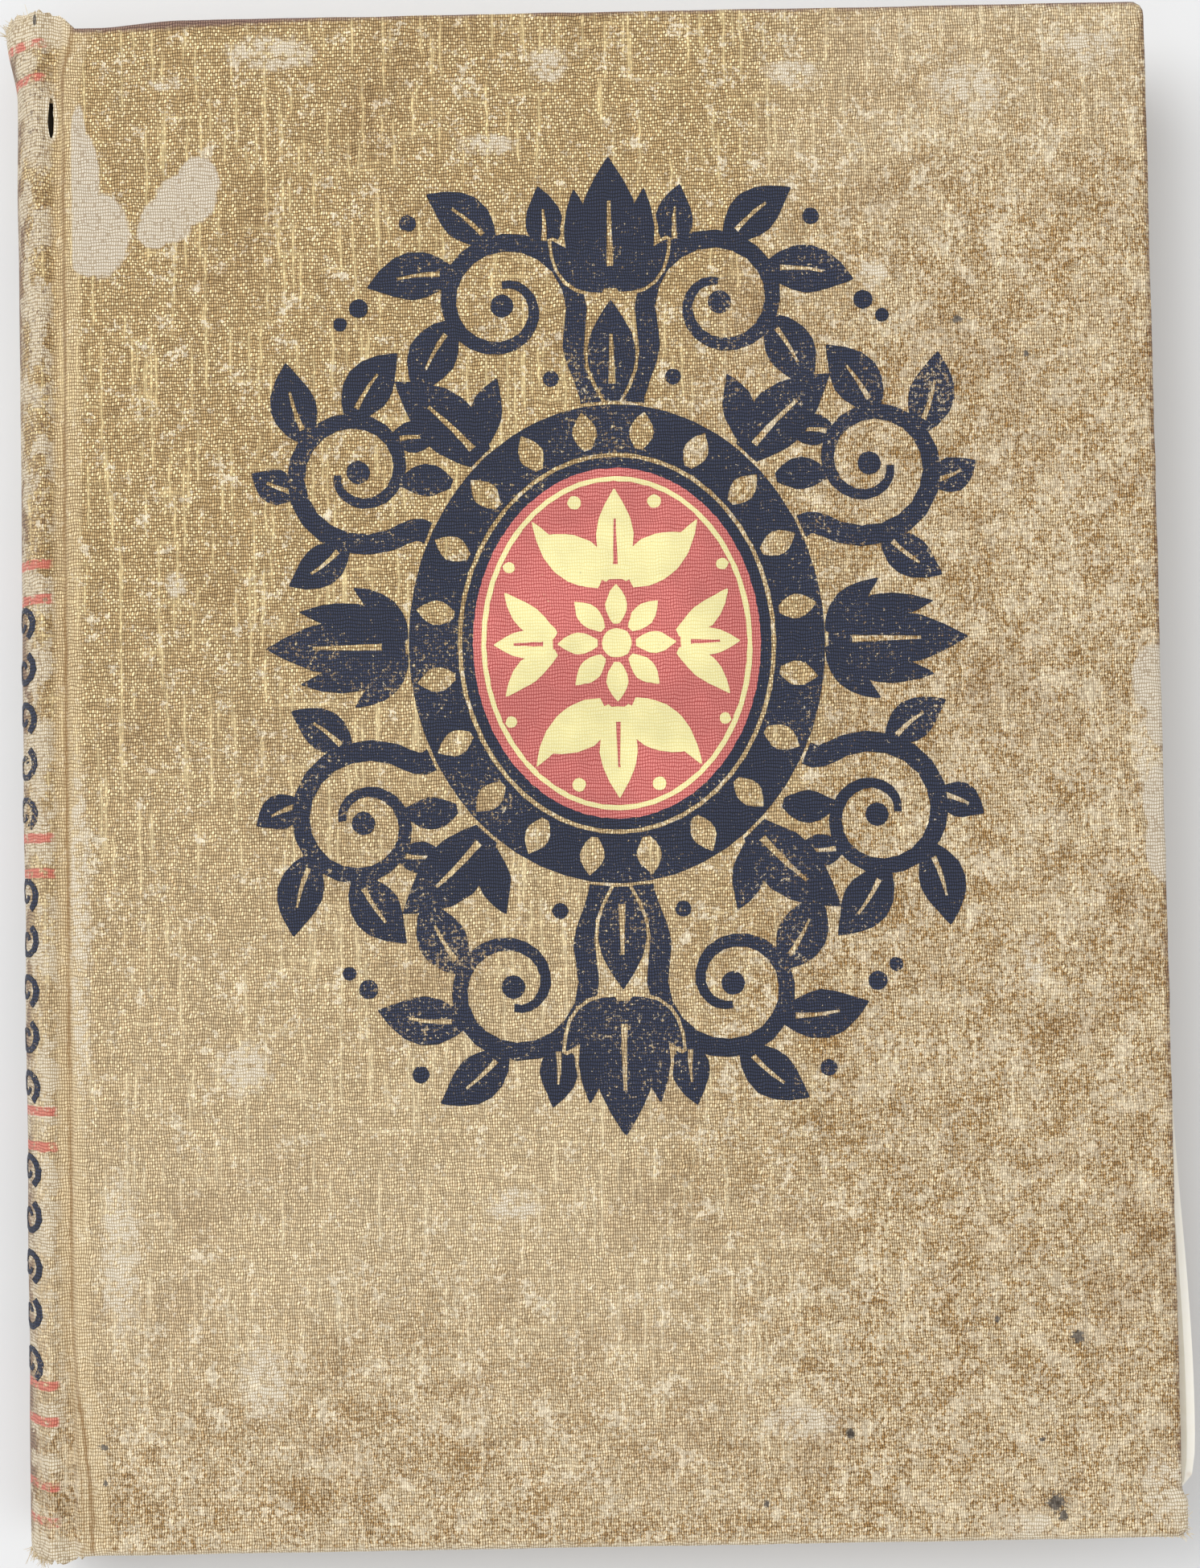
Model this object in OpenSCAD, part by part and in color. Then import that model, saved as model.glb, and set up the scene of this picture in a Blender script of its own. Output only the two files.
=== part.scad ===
// A case-bound hardback book in printed cloth, lying shut on its back cover.
// The frame: X from the spine to the fore-edge, Y from the tail to the head, Z up through the thickness.
// The origin is below the middle of the whole book, in the plane of the back cover's outside face.

/* [Case] */
// Width from the crown of the spine to the fore-edge of the covers
case_w = 216; // [160:1:280]
// Height of the covers, tail to head
case_h = 288; // [280:1:360]
// Thickness over both covers
case_t = 24; // [22:0.5:34]
// Thickness of the grey board inside each cover
board_t = 2.6; // [1.6:0.1:3.2]
// Thickness of the covering cloth
cloth_t = 0.4; // [0.3:0.05:0.5]
// Width of the cloth that is folded round the board and glued inside
turn_in = 15; // [10:1:24]
// Width of the open cut where two turn-ins meet at a corner
mitre_gap = 0.3; // [0.2:0.1:1]
// Rounding of the covers' corners at the head
head_corner_r = 2.5; // [1:0.5:6]
// Rounding of the covers' corners at the tail, more worn
tail_corner_r = 3.5; // [1:0.5:8]

/* [Joint] */
// Distance from the line that a cover turns on to the edge of its board
joint_w = 5.2; // [5:0.1:7]
// Distance from the edge of the rounded spine to the line that a cover turns on
hinge_offset = 1.6; // [1.4:0.1:2]
// Depth of the pressed groove beside the board
groove_depth = 2.3; // [1.6:0.1:2.4]
// Distance from the bottom of the groove to the edge of the board
groove_offset = 2.8; // [2.4:0.1:3.4]
// Length of the worn slit in the front joint
slit_l = 6.4; // [2:0.2:12]
// Width of the worn slit
slit_w = 0.9; // [0.4:0.1:1.4]
// Distance from the head of the covers to the slit
slit_from_head = 16; // [8:1:60]
// Distance from the line that the cover turns on to the middle of the slit, towards the board
slit_offset = 1.7; // [1.3:0.1:2]

/* [Spine] */
// Half of the angle that the rounded spine spans
round_angle = 52; // [46:1:56]
// How far the rounded spine's edge lies inside the covers' outside face
crown_drop = 1; // [0.6:0.1:1.4]
// Thickness of the card strip that stiffens the spine cloth
inlay_t = 0.8; // [0.5:0.1:1]
// Width of the hollow between the card strip and the lined back of the leaves
hollow_t = 0.55; // [0.55:0.05:0.8]
// Thickness of the paper lining on the back of the leaves
lining_t = 0.2; // [0.1:0.05:0.3]
// Thickness of the gauze that joins the leaves to the boards
gauze_t = 0.25; // [0.15:0.05:0.3]
// Width of the gauze that is glued to each board
gauze_flange_w = 26; // [15:1:40]
// Distance from the gauze's ends to the head and tail of the leaves
gauze_short = 12; // [9:1:30]
// How far the worn cloth stands past the covers at the head and tail of the spine
cap_rise = 1; // [0.2:0.1:2]

/* [Leaves] */
// How far the covers stand past the leaves at head, tail and fore-edge
square_w = 3.5; // [2.5:0.5:6]
// Thickness of an endpaper
endpaper_t = 0.2; // [0.1:0.05:0.25]
// Free play between a pastedown and the leaves
play = 0.25; // [0.2:0.05:0.5]
// How far the leaves' back swells past their flat thickness at each shoulder
shoulder_rise = 1.4; // [0.8:0.1:1.5]
// Length over which the shoulder falls to the flat of the leaves
shoulder_run = 3.4; // [2.5:0.1:4]
// Depth of the hollow fore-edge
fore_hollow = 3; // [1:0.5:5]
// Number of sewn gatherings
gatherings = 16; // [8:1:24]
// Depth of the valleys between the gatherings' folded backs
fold_depth = 0.5; // [0.2:0.1:0.8]
// Thickness of each leaf that has come loose
loose_leaf_t = 0.25; // [0.15:0.05:0.4]
// Angle by which the lower loose leaf has swung out, in degrees
lower_leaf_angle = 1.2; // [0.9:0.1:1.4]
// Angle by which the upper loose leaf has swung out, in degrees
upper_leaf_angle = 0.9; // [0:0.1:0.9]
// How much shorter the worn loose leaves are than the block
loose_leaf_short = 3; // [3:0.5:8]
// How far the loose leaves' heads lie below the head of the block
loose_leaf_drop = 1; // [0.5:0.1:2]
// Rounding of the loose leaves' worn corners
loose_corner_r = 3; // [1:0.5:6]
// Width of the turn-ins that shows round a pastedown
pastedown_margin = 4; // [2:0.5:8]

/* [Stamping on the front] */
// Thickness of the stamped colour
ink_t = 0.1; // [0.06:0.02:0.2]
// Middle of the ornament, towards the fore-edge from the middle of the cover
ornament_x = 0; // [-10:1:15]
// Middle of the ornament, towards the head from the middle of the cover
ornament_y = 24; // [-30:1:40]
// Half of the red medallion's width
medallion_w = 27; // [24:1:28]
// Half of the red medallion's height
medallion_h = 33; // [30:1:34]
// Width of the dark collar round the medallion
collar_w = 12; // [10:0.5:13]
// Width of the scrolls' stems where they leave the collar
stem_w = 4.4; // [3:0.2:6]
// Width of the bare line that parts the scrolls from the collar and the finials
bare_line = 0.7; // [0.3:0.1:1.2]
// Width of the thinnest dark lines
line_w = 1.4; // [0.8:0.1:2]

/* [Stamping on the spine] */
// Half of the angle of the spine that the stamping spans
stamped_angle = 45; // [30:1:46]
// Width of a red rule
rule_w = 2.1; // [1:0.1:4]
// Distance between the two rules of a pair
rule_gap = 6.7; // [4:0.1:10]
// Heights of the pairs of rules, from the middle of the spine
rule_pairs = [136.6, 37.8, -13.3, -64.9, -116.6, -136];
// Heights of the panels that hold scrolls
scroll_panels = [12.3, -39.1, -90.8];
// Length of a row of scrolls
scroll_row = 36; // [20:1:40]
// Distance from the middle of the spine to each row of scrolls
scroll_row_offset = 4.6; // [4.2:0.1:5.4]
// Radius of a scroll
scroll_r = 3.3; // [2.6:0.1:4]
// Width of the strokes of the scrolls
scroll_line_w = 1.1; // [0.6:0.1:1.6]

/* [Hidden] */
$fn = 96;

cloth_colour = [0.72, 0.61, 0.42];
paper_colour = [0.93, 0.89, 0.78];
grey_board_colour = [0.55, 0.51, 0.44];
gauze_colour = [0.85, 0.82, 0.74];
brown_paper_colour = [0.66, 0.52, 0.36];
dark_ink = [0.16, 0.18, 0.25];
red_ink = [0.78, 0.38, 0.36];
gold_ink = [0.96, 0.92, 0.7];

// Heights of the layers of the front half, which the back half mirrors
mid_z = case_t / 2;
board_top = case_t - cloth_t;
board_bottom = board_top - board_t;
turn_in_bottom = board_bottom - cloth_t;
pastedown_bottom = turn_in_bottom - endpaper_t;
leaves_top = pastedown_bottom - play;
leaves_half_t = leaves_top - mid_z;
block_top = leaves_top - endpaper_t - 2 * loose_leaf_t;
block_bottom = case_t - leaves_top + endpaper_t;

// Radii of the layers on the round of the spine, from the outside inwards
glue_gap = 0.05;
seam_angle = 0.04;
spine_r = (mid_z - crown_drop) / sin(round_angle);
inlay_r = spine_r - cloth_t;
cap_r = inlay_r - inlay_t;
lining_r = cap_r - hollow_t;
gauze_r = lining_r - lining_t;
back_r = gauze_r - gauze_t - glue_gap;
shoulder_angle = asin((leaves_half_t + shoulder_rise) / back_r);
spine_depth = spine_r - spine_r * cos(round_angle);
joint_angle = 180 - round_angle - seam_angle;

// Sizes up the book and across it, and how far the lower loose leaf stands out past the covers
leaves_h = case_h - 2 * square_w;
board_h = case_h - 2 * cloth_t;
cap_length = cloth_t + cap_rise;
leaf_w = case_w - square_w - spine_r + back_r * cos(shoulder_angle) - shoulder_run;
leaf_h = leaves_h - loose_leaf_short;
leaf_reach = (leaf_w - loose_corner_r) * cos(lower_leaf_angle)
    + (leaf_h - loose_corner_r) * sin(lower_leaf_angle) + loose_corner_r;
leaf_overhang = max(0, leaf_reach - leaf_w - square_w);

// Places across the book, from the spine to the fore-edge
spine_x = -(case_w + leaf_overhang) / 2;
spine_cx = spine_x + spine_r;
hinge_x = spine_x + spine_depth + hinge_offset;
board_x = hinge_x + joint_w;
fore_x = spine_x + case_w;
leaves_fore_x = fore_x - square_w;
flat_x = leaves_fore_x - leaf_w;
shoulder_x = flat_x - shoulder_run;
spine_centre = [spine_cx, mid_z];

// Step of the grid that the ornament is drawn on, of which the collar reaches 39 to each side
grid = (medallion_w + collar_w) / 39;
// Height of the finials at the ornament's head and tail
end_finial_y = medallion_h + collar_w + 22 * grid;

// How far a cutting shape reaches past what it cuts
past = 1;

// Radius of a spine scroll's eye, and how far ink runs into the narrow corners of a shape
scroll_eye_r = 1;
ink_run = 0.2;

// A point at radius r and angle a round c
function on_circle(c, r, a) = c + r * [cos(a), sin(a)];

// Points along a cubic curve from p0 to p3, without the last
function curve(p0, p1, p2, p3, n = 8) = [
    for (i = [0:n - 1])
    let (t = i / n, s = 1 - t)
    s * s * s * p0 + 3 * s * s * t * p1 + 3 * s * t * t * p2 + t * t * t * p3
];

// Points along an arc or a closing coil, from radius r0 at angle a0 to r1 at a1
function coil(c, r0, r1, a0, a1, step = 15) =
    let (n = ceil(abs(a1 - a0) / step))
    [for (i = [0:n]) on_circle(c, r0 + (r1 - r0) * i / n, a0 + (a1 - a0) * i / n)];

// Unit normal on the left of a path at its point i
function left_normal(path, i) =
    let (d = path[min(i + 1, len(path) - 1)] - path[max(i - 1, 0)])
    [-d[1], d[0]] / norm(d);

// The points of a path moved to its left by the widths w, one for each point
function beside(path, w) = [for (i = [0:len(path) - 1]) path[i] + w[i] * left_normal(path, i)];

function reversed(path) = [for (i = [len(path) - 1:-1:0]) path[i]];

// The mirror image of a path in the plane halfway through the book
function turned(path) = [for (p = path) [p[0], case_t - p[1]]];

// Stands a shape drawn across the book along the book's height, with its middle at y_mid
module along_book(length, y_mid = 0) {
    translate([0, y_mid + length / 2, 0])
        rotate([90, 0, 0])
            linear_extrude(height = length)
                children();
}

// The back cover's pieces are the front cover's, turned over
module turned_over() {
    translate([0, 0, case_t])
        mirror([0, 0, 1])
            children();
}

// The section of a layer on the round of the spine, with its outside at radius r
module spine_layer(r, thickness, half_angle) {
    intersection() {
        translate(spine_centre)
            difference() {
                circle(r = r);
                circle(r = r - thickness);
            }
        polygon([
            spine_centre,
            on_circle(spine_centre, 3 * r, 180 + half_angle),
            on_circle(spine_centre, 3 * r, 180 - half_angle)
        ]);
    }
}

// The back of the block, scalloped by the folds of the gatherings
function gathering_folds(steps = 6) = [
    for (i = [0:gatherings * steps])
    let (t = i / steps, valley = 1 - abs(sin(180 * t)))
    on_circle(spine_centre, back_r - fold_depth * valley,
        180 + shoulder_angle - 2 * shoulder_angle * t / gatherings)
];

// The shoulder that was hammered over, falling from its crest to the flat of the leaves
function shoulder(top) =
    let (crest = mid_z + leaves_half_t + shoulder_rise)
    curve(
        [shoulder_x + 0.1, crest],
        [shoulder_x + shoulder_run * 0.4, crest - shoulder_rise * 0.6],
        [shoulder_x + shoulder_run * 0.6, top],
        [flat_x, top]
    );

// The hollow fore-edge, from its lower edge to its upper one
function hollow_fore_edge() =
    let (
        half_t = (block_top - block_bottom) / 2,
        r = (half_t * half_t + fore_hollow * fore_hollow) / (2 * fore_hollow),
        half_angle = asin(half_t / r)
    )
    coil([leaves_fore_x + r - fore_hollow, (block_top + block_bottom) / 2], r, r,
        180 - half_angle, 180 + half_angle, 4);

// The sewn leaves, one block that was rounded and backed
module text_block() {
    color(paper_colour)
        along_book(leaves_h)
            polygon(concat(
                gathering_folds(),
                shoulder(block_top),
                [[flat_x, block_top]],
                hollow_fore_edge(),
                [[flat_x, block_bottom]],
                reversed(turned(shoulder(case_t - block_bottom)))
            ));
}

module front_free_endpaper() {
    color(paper_colour)
        translate([flat_x, -leaves_h / 2, leaves_top - endpaper_t])
            cube([leaf_w, leaves_h, endpaper_t]);
}

module back_free_endpaper() {
    turned_over()
        front_free_endpaper();
}

// A loose leaf, swung out about its head corner at the spine
module loose_leaf(bottom, angle) {
    inner_w = leaf_w - loose_corner_r;
    inner_h = leaf_h - 2 * loose_corner_r;
    color(paper_colour)
        translate([flat_x, leaves_h / 2 - loose_leaf_drop, bottom])
            rotate(angle)
                translate([0, -leaf_h, 0])
                    union() {
                        translate([0, loose_corner_r, 0])
                            cube([leaf_w, inner_h, loose_leaf_t]);
                        cube([inner_w, leaf_h, loose_leaf_t]);
                        for (y = [loose_corner_r, loose_corner_r + inner_h])
                            translate([inner_w, y, 0])
                                cylinder(r = loose_corner_r, h = loose_leaf_t);
                    }
}

module loose_leaf_upper() {
    loose_leaf(block_top + loose_leaf_t, upper_leaf_angle);
}

module loose_leaf_lower() {
    loose_leaf(block_top, lower_leaf_angle);
}

// Open-weave gauze glued over the backs of the gatherings
module spine_gauze() {
    color(gauze_colour)
        along_book(leaves_h - 2 * gauze_short)
            spine_layer(gauze_r, gauze_t, shoulder_angle);
}

// Brown paper glued over the gauze
module spine_paper_lining() {
    color(brown_paper_colour)
        along_book(leaves_h)
            spine_layer(lining_r, lining_t, shoulder_angle);
}

// Card strip that lines the spine of the case and keeps it round
module spine_inlay() {
    color(grey_board_colour)
        along_book(board_h)
            spine_layer(inlay_r, inlay_t, round_angle);
}

// Cloth over the card strip, with its ends folded in and standing past the boards in worn caps
module spine_cloth() {
    cap_y = (board_h + cap_length) / 2;
    color(cloth_colour) {
        along_book(case_h + 2 * cap_rise)
            spine_layer(spine_r, cloth_t, round_angle);
        for (end = [1, -1]) {
            along_book(cap_length, end * cap_y)
                spine_layer(inlay_r, inlay_t + cloth_t, round_angle);
            along_book(turn_in, end * (board_h - turn_in) / 2)
                spine_layer(cap_r, cloth_t, round_angle);
        }
    }
}

// The outside of the cloth from the round of the spine, down into the groove and up to the board
function joint_path() =
    let (
        start = on_circle(spine_centre, spine_r, joint_angle),
        groove = [board_x - groove_offset, case_t - groove_depth],
        edge = [board_x, case_t],
        reach = (groove[0] - start[0]) * 0.45
    )
    concat(
        curve(start, start + reach * [sin(round_angle), cos(round_angle)], groove - [reach, 0], groove, 10),
        curve(groove, groove + [1.2, 0], edge - [1.4, 0], edge, 8),
        [edge]
    );

module joint_cloth() {
    outside = joint_path();
    last = len(outside) - 1;
    inside = beside(outside, [for (p = outside) -cloth_t]);
    along_book(case_h)
        polygon(concat(
            outside,
            [[board_x, board_top]],
            [for (i = [last - 1:-1:1]) inside[i]],
            [on_circle(spine_centre, inlay_r, joint_angle)]
        ));
}

// Cloth hinge of the front cover, with the slit worn through the side of its groove near the head
module front_joint_cloth() {
    slit_y = case_h / 2 - slit_from_head - slit_l / 2;
    slit_r = (slit_l * slit_l / 4 + slit_w * slit_w / 4) / slit_w;
    color(cloth_colour)
        difference() {
            joint_cloth();
            translate([hinge_x + slit_offset, slit_y, mid_z])
                linear_extrude(height = case_t)
                    intersection_for(side = [1, -1])
                        translate([side * (slit_r - slit_w / 2), 0])
                            circle(r = slit_r);
        }
}

module back_joint_cloth() {
    color(cloth_colour)
        turned_over()
            joint_cloth();
}

// The outline of a board, grown on its three free sides, from its edge along the joint
module cover_outline(grow) {
    half_h = board_h / 2 + grow;
    edge = fore_x - cloth_t + grow;
    difference() {
        translate([board_x, -half_h])
            square([edge - board_x, 2 * half_h]);
        outside_corner(head_corner_r + grow, [edge, half_h], 0);
        outside_corner(tail_corner_r + grow, [edge, -half_h], -90);
    }
}

// What a round corner of radius r takes off a square corner at point p
module outside_corner(r, p, turn) {
    translate(p)
        rotate(turn)
            difference() {
                translate([-r, -r])
                    square(r + past);
                translate([-r, -r])
                    circle(r = r);
            }
}

module front_board() {
    color(grey_board_colour)
        translate([0, 0, board_bottom])
            linear_extrude(height = board_t)
                cover_outline(0);
}

// Cloth glued over the board, folded round its three free edges and mitred at the corners
module front_cover_cloth() {
    open_h = case_h - 2 * turn_in;
    open_x = fore_x - turn_in;
    mitre_l = (turn_in - tail_corner_r) * sqrt(2);
    color(cloth_colour)
        difference() {
            translate([0, 0, turn_in_bottom])
                linear_extrude(height = case_t - turn_in_bottom)
                    cover_outline(cloth_t);
            front_board();
            translate([board_x - past, -open_h / 2, turn_in_bottom - past])
                cube([open_x - board_x + past, open_h, cloth_t + past]);
            for (side = [1, -1])
                translate([open_x, side * open_h / 2, turn_in_bottom - past])
                    rotate(side * 45)
                        translate([-past, -mitre_gap / 2, 0])
                            cube([mitre_l + past, mitre_gap, cloth_t + past]);
        }
}

// A block from the joint to x, between the heights low and high, y to each side of the middle
module slab(x, y, low, high, from = board_x) {
    translate([from, -y, low])
        cube([x - from, 2 * y, high - low]);
}

// The half of the endpaper that is glued down over the board, the gauze and the turn-ins
module front_pastedown() {
    edge = fore_x - pastedown_margin;
    half_h = case_h / 2 - pastedown_margin;
    bare_x = fore_x - turn_in;
    bare_h = case_h / 2 - turn_in;
    gauze_end = board_x + gauze_flange_w;
    gauze_half_h = leaves_h / 2 - gauze_short;
    color(paper_colour)
        difference() {
            union() {
                slab(edge, half_h, pastedown_bottom, turn_in_bottom);
                slab(bare_x, bare_h, turn_in_bottom, board_bottom);
            }
            difference() {
                slab(bare_x - endpaper_t, bare_h - endpaper_t, pastedown_bottom - past,
                    board_bottom - endpaper_t, board_x - past);
                slab(gauze_end + endpaper_t, gauze_half_h + endpaper_t, pastedown_bottom - 2 * past,
                    case_t, board_x - 2 * past);
            }
            slab(gauze_end + endpaper_t, gauze_half_h + endpaper_t, pastedown_bottom - past,
                board_bottom - gauze_t - endpaper_t, board_x - past);
            gauze_flange();
        }
}

module gauze_flange() {
    slab(board_x + gauze_flange_w, leaves_h / 2 - gauze_short, board_bottom - gauze_t, board_bottom);
}

module front_gauze_flange() {
    color(gauze_colour)
        gauze_flange();
}

module back_board() {
    turned_over()
        front_board();
}

module back_cover_cloth() {
    turned_over()
        front_cover_cloth();
}

module back_pastedown() {
    turned_over()
        front_pastedown();
}

module back_gauze_flange() {
    turned_over()
        front_gauze_flange();
}

// A stroke along a path whose width runs from w0 to w1 and swells in between
module stroke(path, w0, w1, swell = 0) {
    n = len(path) - 1;
    half = [for (i = [0:n]) (w0 + (w1 - w0) * i / n + swell * sin(180 * i / n)) / 2];
    polygon(concat(beside(path, half), reversed(beside(path, -half))));
}

// A pointed leaf of length l and width w that grows from base and curls to its left, with a bare vein
module leaf(base, angle, l, w, curl = 0, vein = 1.1) {
    midrib = [for (i = [0:6]) [l * i / 6, curl * l * i * i / 36]];
    translate(base)
        rotate(angle)
            difference() {
                stroke(midrib, w * 0.3, 0.2, w * 0.85);
                if (vein > 0)
                    stroke([for (i = [1:4]) midrib[i]], vein, vein * 0.5);
            }
}

// A stem from a point, which turns into a closing coil round c and bears leaves on its outside.
// Each leaf has its place in turns from the start of the coil, its length and its width, in steps.
module scroll(from, leaving, c, r, a0, turns, leaves) {
    sense = sign(turns);
    eye_r = 2.2;
    inner_r = eye_r * 1.8;
    start = on_circle(c, r, a0);
    arriving = start - sense * 5 * [-sin(a0), cos(a0)];
    stem = curve(from, from + leaving, arriving, start, 5);
    stroke(concat(stem, coil(c, r, inner_r, a0, a0 + turns * 360, 18)), stem_w / grid, line_w / grid);
    translate(c)
        circle(r = eye_r, $fn = 12);
    for (l = leaves)
        let (a = a0 + sense * 360 * l[0], leaf_r = r + (inner_r - r) * l[0] / abs(turns))
        leaf(on_circle(c, leaf_r, a), a + sense * 28, l[1], l[2], sense * 0.25);
}

module oval(w, h) {
    n = 48;
    polygon([for (i = [0:n - 1]) [w * cos(360 * i / n), h * sin(360 * i / n)]]);
}

module oval_ring(w, h, line) {
    difference() {
        oval(w, h);
        oval(w - line, h - line);
    }
}

module both_sides() {
    children();
    mirror([1, 0])
        children();
}

module four_fold() {
    both_sides() {
        children();
        mirror([0, 1])
            children();
    }
}

// The dark collar round the medallion, with bare leaves left in it
module collar() {
    leaves = 20;
    root_gap = 3.8 * grid;
    difference() {
        oval(medallion_w + collar_w, medallion_h + collar_w);
        oval(medallion_w, medallion_h);
        oval_ring(medallion_w + 2.9 * grid, medallion_h + 2.9 * grid, 0.9 * grid);
        for (i = [0:leaves - 1])
            let (a = 360 * (i + 0.5) / leaves)
            let (root = [(medallion_w + root_gap) * cos(a), (medallion_h + root_gap) * sin(a)])
            leaf(root, atan2(root[1] * 0.85, root[0]), collar_w - 4.8 * grid, 4.6 * grid, 0, 0);
    }
}

// A quarter of the scrollwork, on the grid: two scrolls with their leaves, and the leaves between them
module scrollwork() {
    scale(grid) {
        scroll([3.5, 43], [0, 7], [20.5, 64], 14.5, 200, -1.3,
            [[0.2, 12, 7], [0.33, 15, 8.5], [0.46, 16, 9], [0.61, 15, 9]]);
        scroll([33.5, 20], [3, 3], [48, 33], 14.2, -115, 1.3,
            [[0.1, 13, 7.5], [0.27, 9, 6.5], [0.41, 15, 8.5], [0.55, 15, 9], [0.7, 9, 6]]);
        leaf([24, 34], 52, 23, 11, -0.15, 1.5);
        leaf([24, 38], 84, 12, 6, 0.3, 0);
        leaf([30.5, 30.5], 18, 10, 6, -0.3, 0);
        for (bud = [[47.5, 64, 1.8], [38, 80, 1.6], [51, 61, 1.3], [11.5, 50, 1.5]])
            translate([bud[0], bud[1]])
                circle(r = bud[2], $fn = 12);
    }
}

// The leaf and its curling neighbours that end an axis of the ornament
module finial(l, w) {
    leaf([0, 0], 0, l, w, 0, 1.4);
    for (side = [1, -1]) {
        leaf([0, side * 1.2], side * 30, l * 0.76, w * 0.62, side * -0.25, 0);
        leaf([0, side * 1.2], side * 66, l * 0.5, w * 0.5, side * -0.35, 0);
    }
}

// The finials on the two axes of the ornament
module finials() {
    both_sides()
        translate([medallion_w + collar_w + bare_line, 0])
            scale(grid)
                finial(26, 10);
    for (side = [1, -1]) {
        translate([0, side * (medallion_h + collar_w + bare_line)])
            rotate(side * 90)
                scale(grid)
                    leaf([0, 0], 0, 19, 9, 0, 1.4);
        translate([0, side * end_finial_y])
            rotate(side * 90)
                scale(grid)
                    finial(25, 11);
    }
}

// Scrollwork that stops short of the collar and the finials, so that a bare line parts them
module parted_scrollwork() {
    difference() {
        scrollwork();
        offset(delta = bare_line) {
            oval(medallion_w + collar_w, medallion_h + collar_w);
            finials();
        }
    }
}

// Fills the narrow inner corners of a shape, as ink does
module inked() {
    offset(delta = -ink_run)
        offset(delta = ink_run)
            children();
}

module on_cover(level) {
    translate([(board_x + fore_x) / 2 + ornament_x, ornament_y, case_t + level * ink_t])
        children();
}

// Dark scrollwork stamped on the cloth
module cover_dark_ornament() {
    color(dark_ink)
        on_cover(0) {
            linear_extrude(height = ink_t)
                inked()
                    collar();
            linear_extrude(height = ink_t)
                inked()
                    finials();
            four_fold()
                linear_extrude(height = ink_t)
                    inked()
                        parted_scrollwork();
        }
}

module cover_red_medallion() {
    color(red_ink)
        on_cover(0)
            linear_extrude(height = ink_t)
                oval(medallion_w, medallion_h);
}

// Gold leaves and petals stamped over the red
module cover_gold_rosette() {
    color(gold_ink)
        on_cover(1)
            linear_extrude(height = ink_t)
                inked()
                    gold_rosette_shape();
}

module gold_rosette_shape() {
    oval_ring(medallion_w - 1.6 * grid, medallion_h - 1.6 * grid, 0.9 * grid);
    scale(grid) {
        circle(r = 2.8, $fn = 16);
        for (i = [0:7])
            leaf(on_circle([0, 0], 3.6, 45 * i), 45 * i, 7.4, 4, 0, 0);
        four_fold() {
            leaf([1.2, 12], 57, 14, 5.4, -0.45, 0);
            leaf([3, 11], 22, 16, 5, 0.4, 0);
            leaf([11.4, 1.6], 24, 12, 4.6, 0.3, 0);
            translate([7.5, 26.5])
                circle(r = 1.3, $fn = 12);
            translate([20, 14.5])
                circle(r = 1.1, $fn = 12);
        }
        for (end = [1, -1]) {
            leaf([0, end * 12], end * 90, 17, 7, 0, 0.9);
            leaf([end * 12, 0], end > 0 ? 0 : 180, 11, 5, 0, 0.9);
        }
    }
}

// A shell of ink on the round of the spine
module spine_ink(length, y_mid) {
    along_book(length, y_mid)
        spine_layer(spine_r + ink_t, ink_t, stamped_angle);
}

module spine_red_rules() {
    color(red_ink)
        for (pair = rule_pairs, side = [1, -1])
            spine_ink(rule_w, pair + side * rule_gap / 2);
}

// Rows of scrolls, drawn up the book and wrapped on the round of the spine
module spine_dark_scrolls() {
    pitch = scroll_row / 4;
    color(dark_ink)
        for (y = scroll_panels, i = [-2:2], side = [1, -1])
            intersection() {
                spine_ink(pitch, y + i * pitch);
                translate([spine_x - past, y + i * pitch, mid_z + side * scroll_row_offset])
                    rotate([90, 0, 90])
                        linear_extrude(height = spine_r)
                            mirror([(i + side) % 2 == 0 ? 1 : 0, 0])
                                spine_scroll();
            }
}

module spine_scroll() {
    stroke(coil([0, 0], scroll_r, scroll_eye_r, 150, -250, 32), scroll_line_w * 1.2, scroll_line_w * 0.8);
}

text_block();
front_free_endpaper();
back_free_endpaper();
loose_leaf_upper();
loose_leaf_lower();
spine_gauze();
spine_paper_lining();
spine_inlay();
spine_cloth();
front_joint_cloth();
back_joint_cloth();
spine_red_rules();
spine_dark_scrolls();
front_board();
front_cover_cloth();
front_pastedown();
front_gauze_flange();
cover_dark_ornament();
cover_red_medallion();
cover_gold_rosette();
back_board();
back_cover_cloth();
back_pastedown();
back_gauze_flange();
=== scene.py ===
import math
import random

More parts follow.
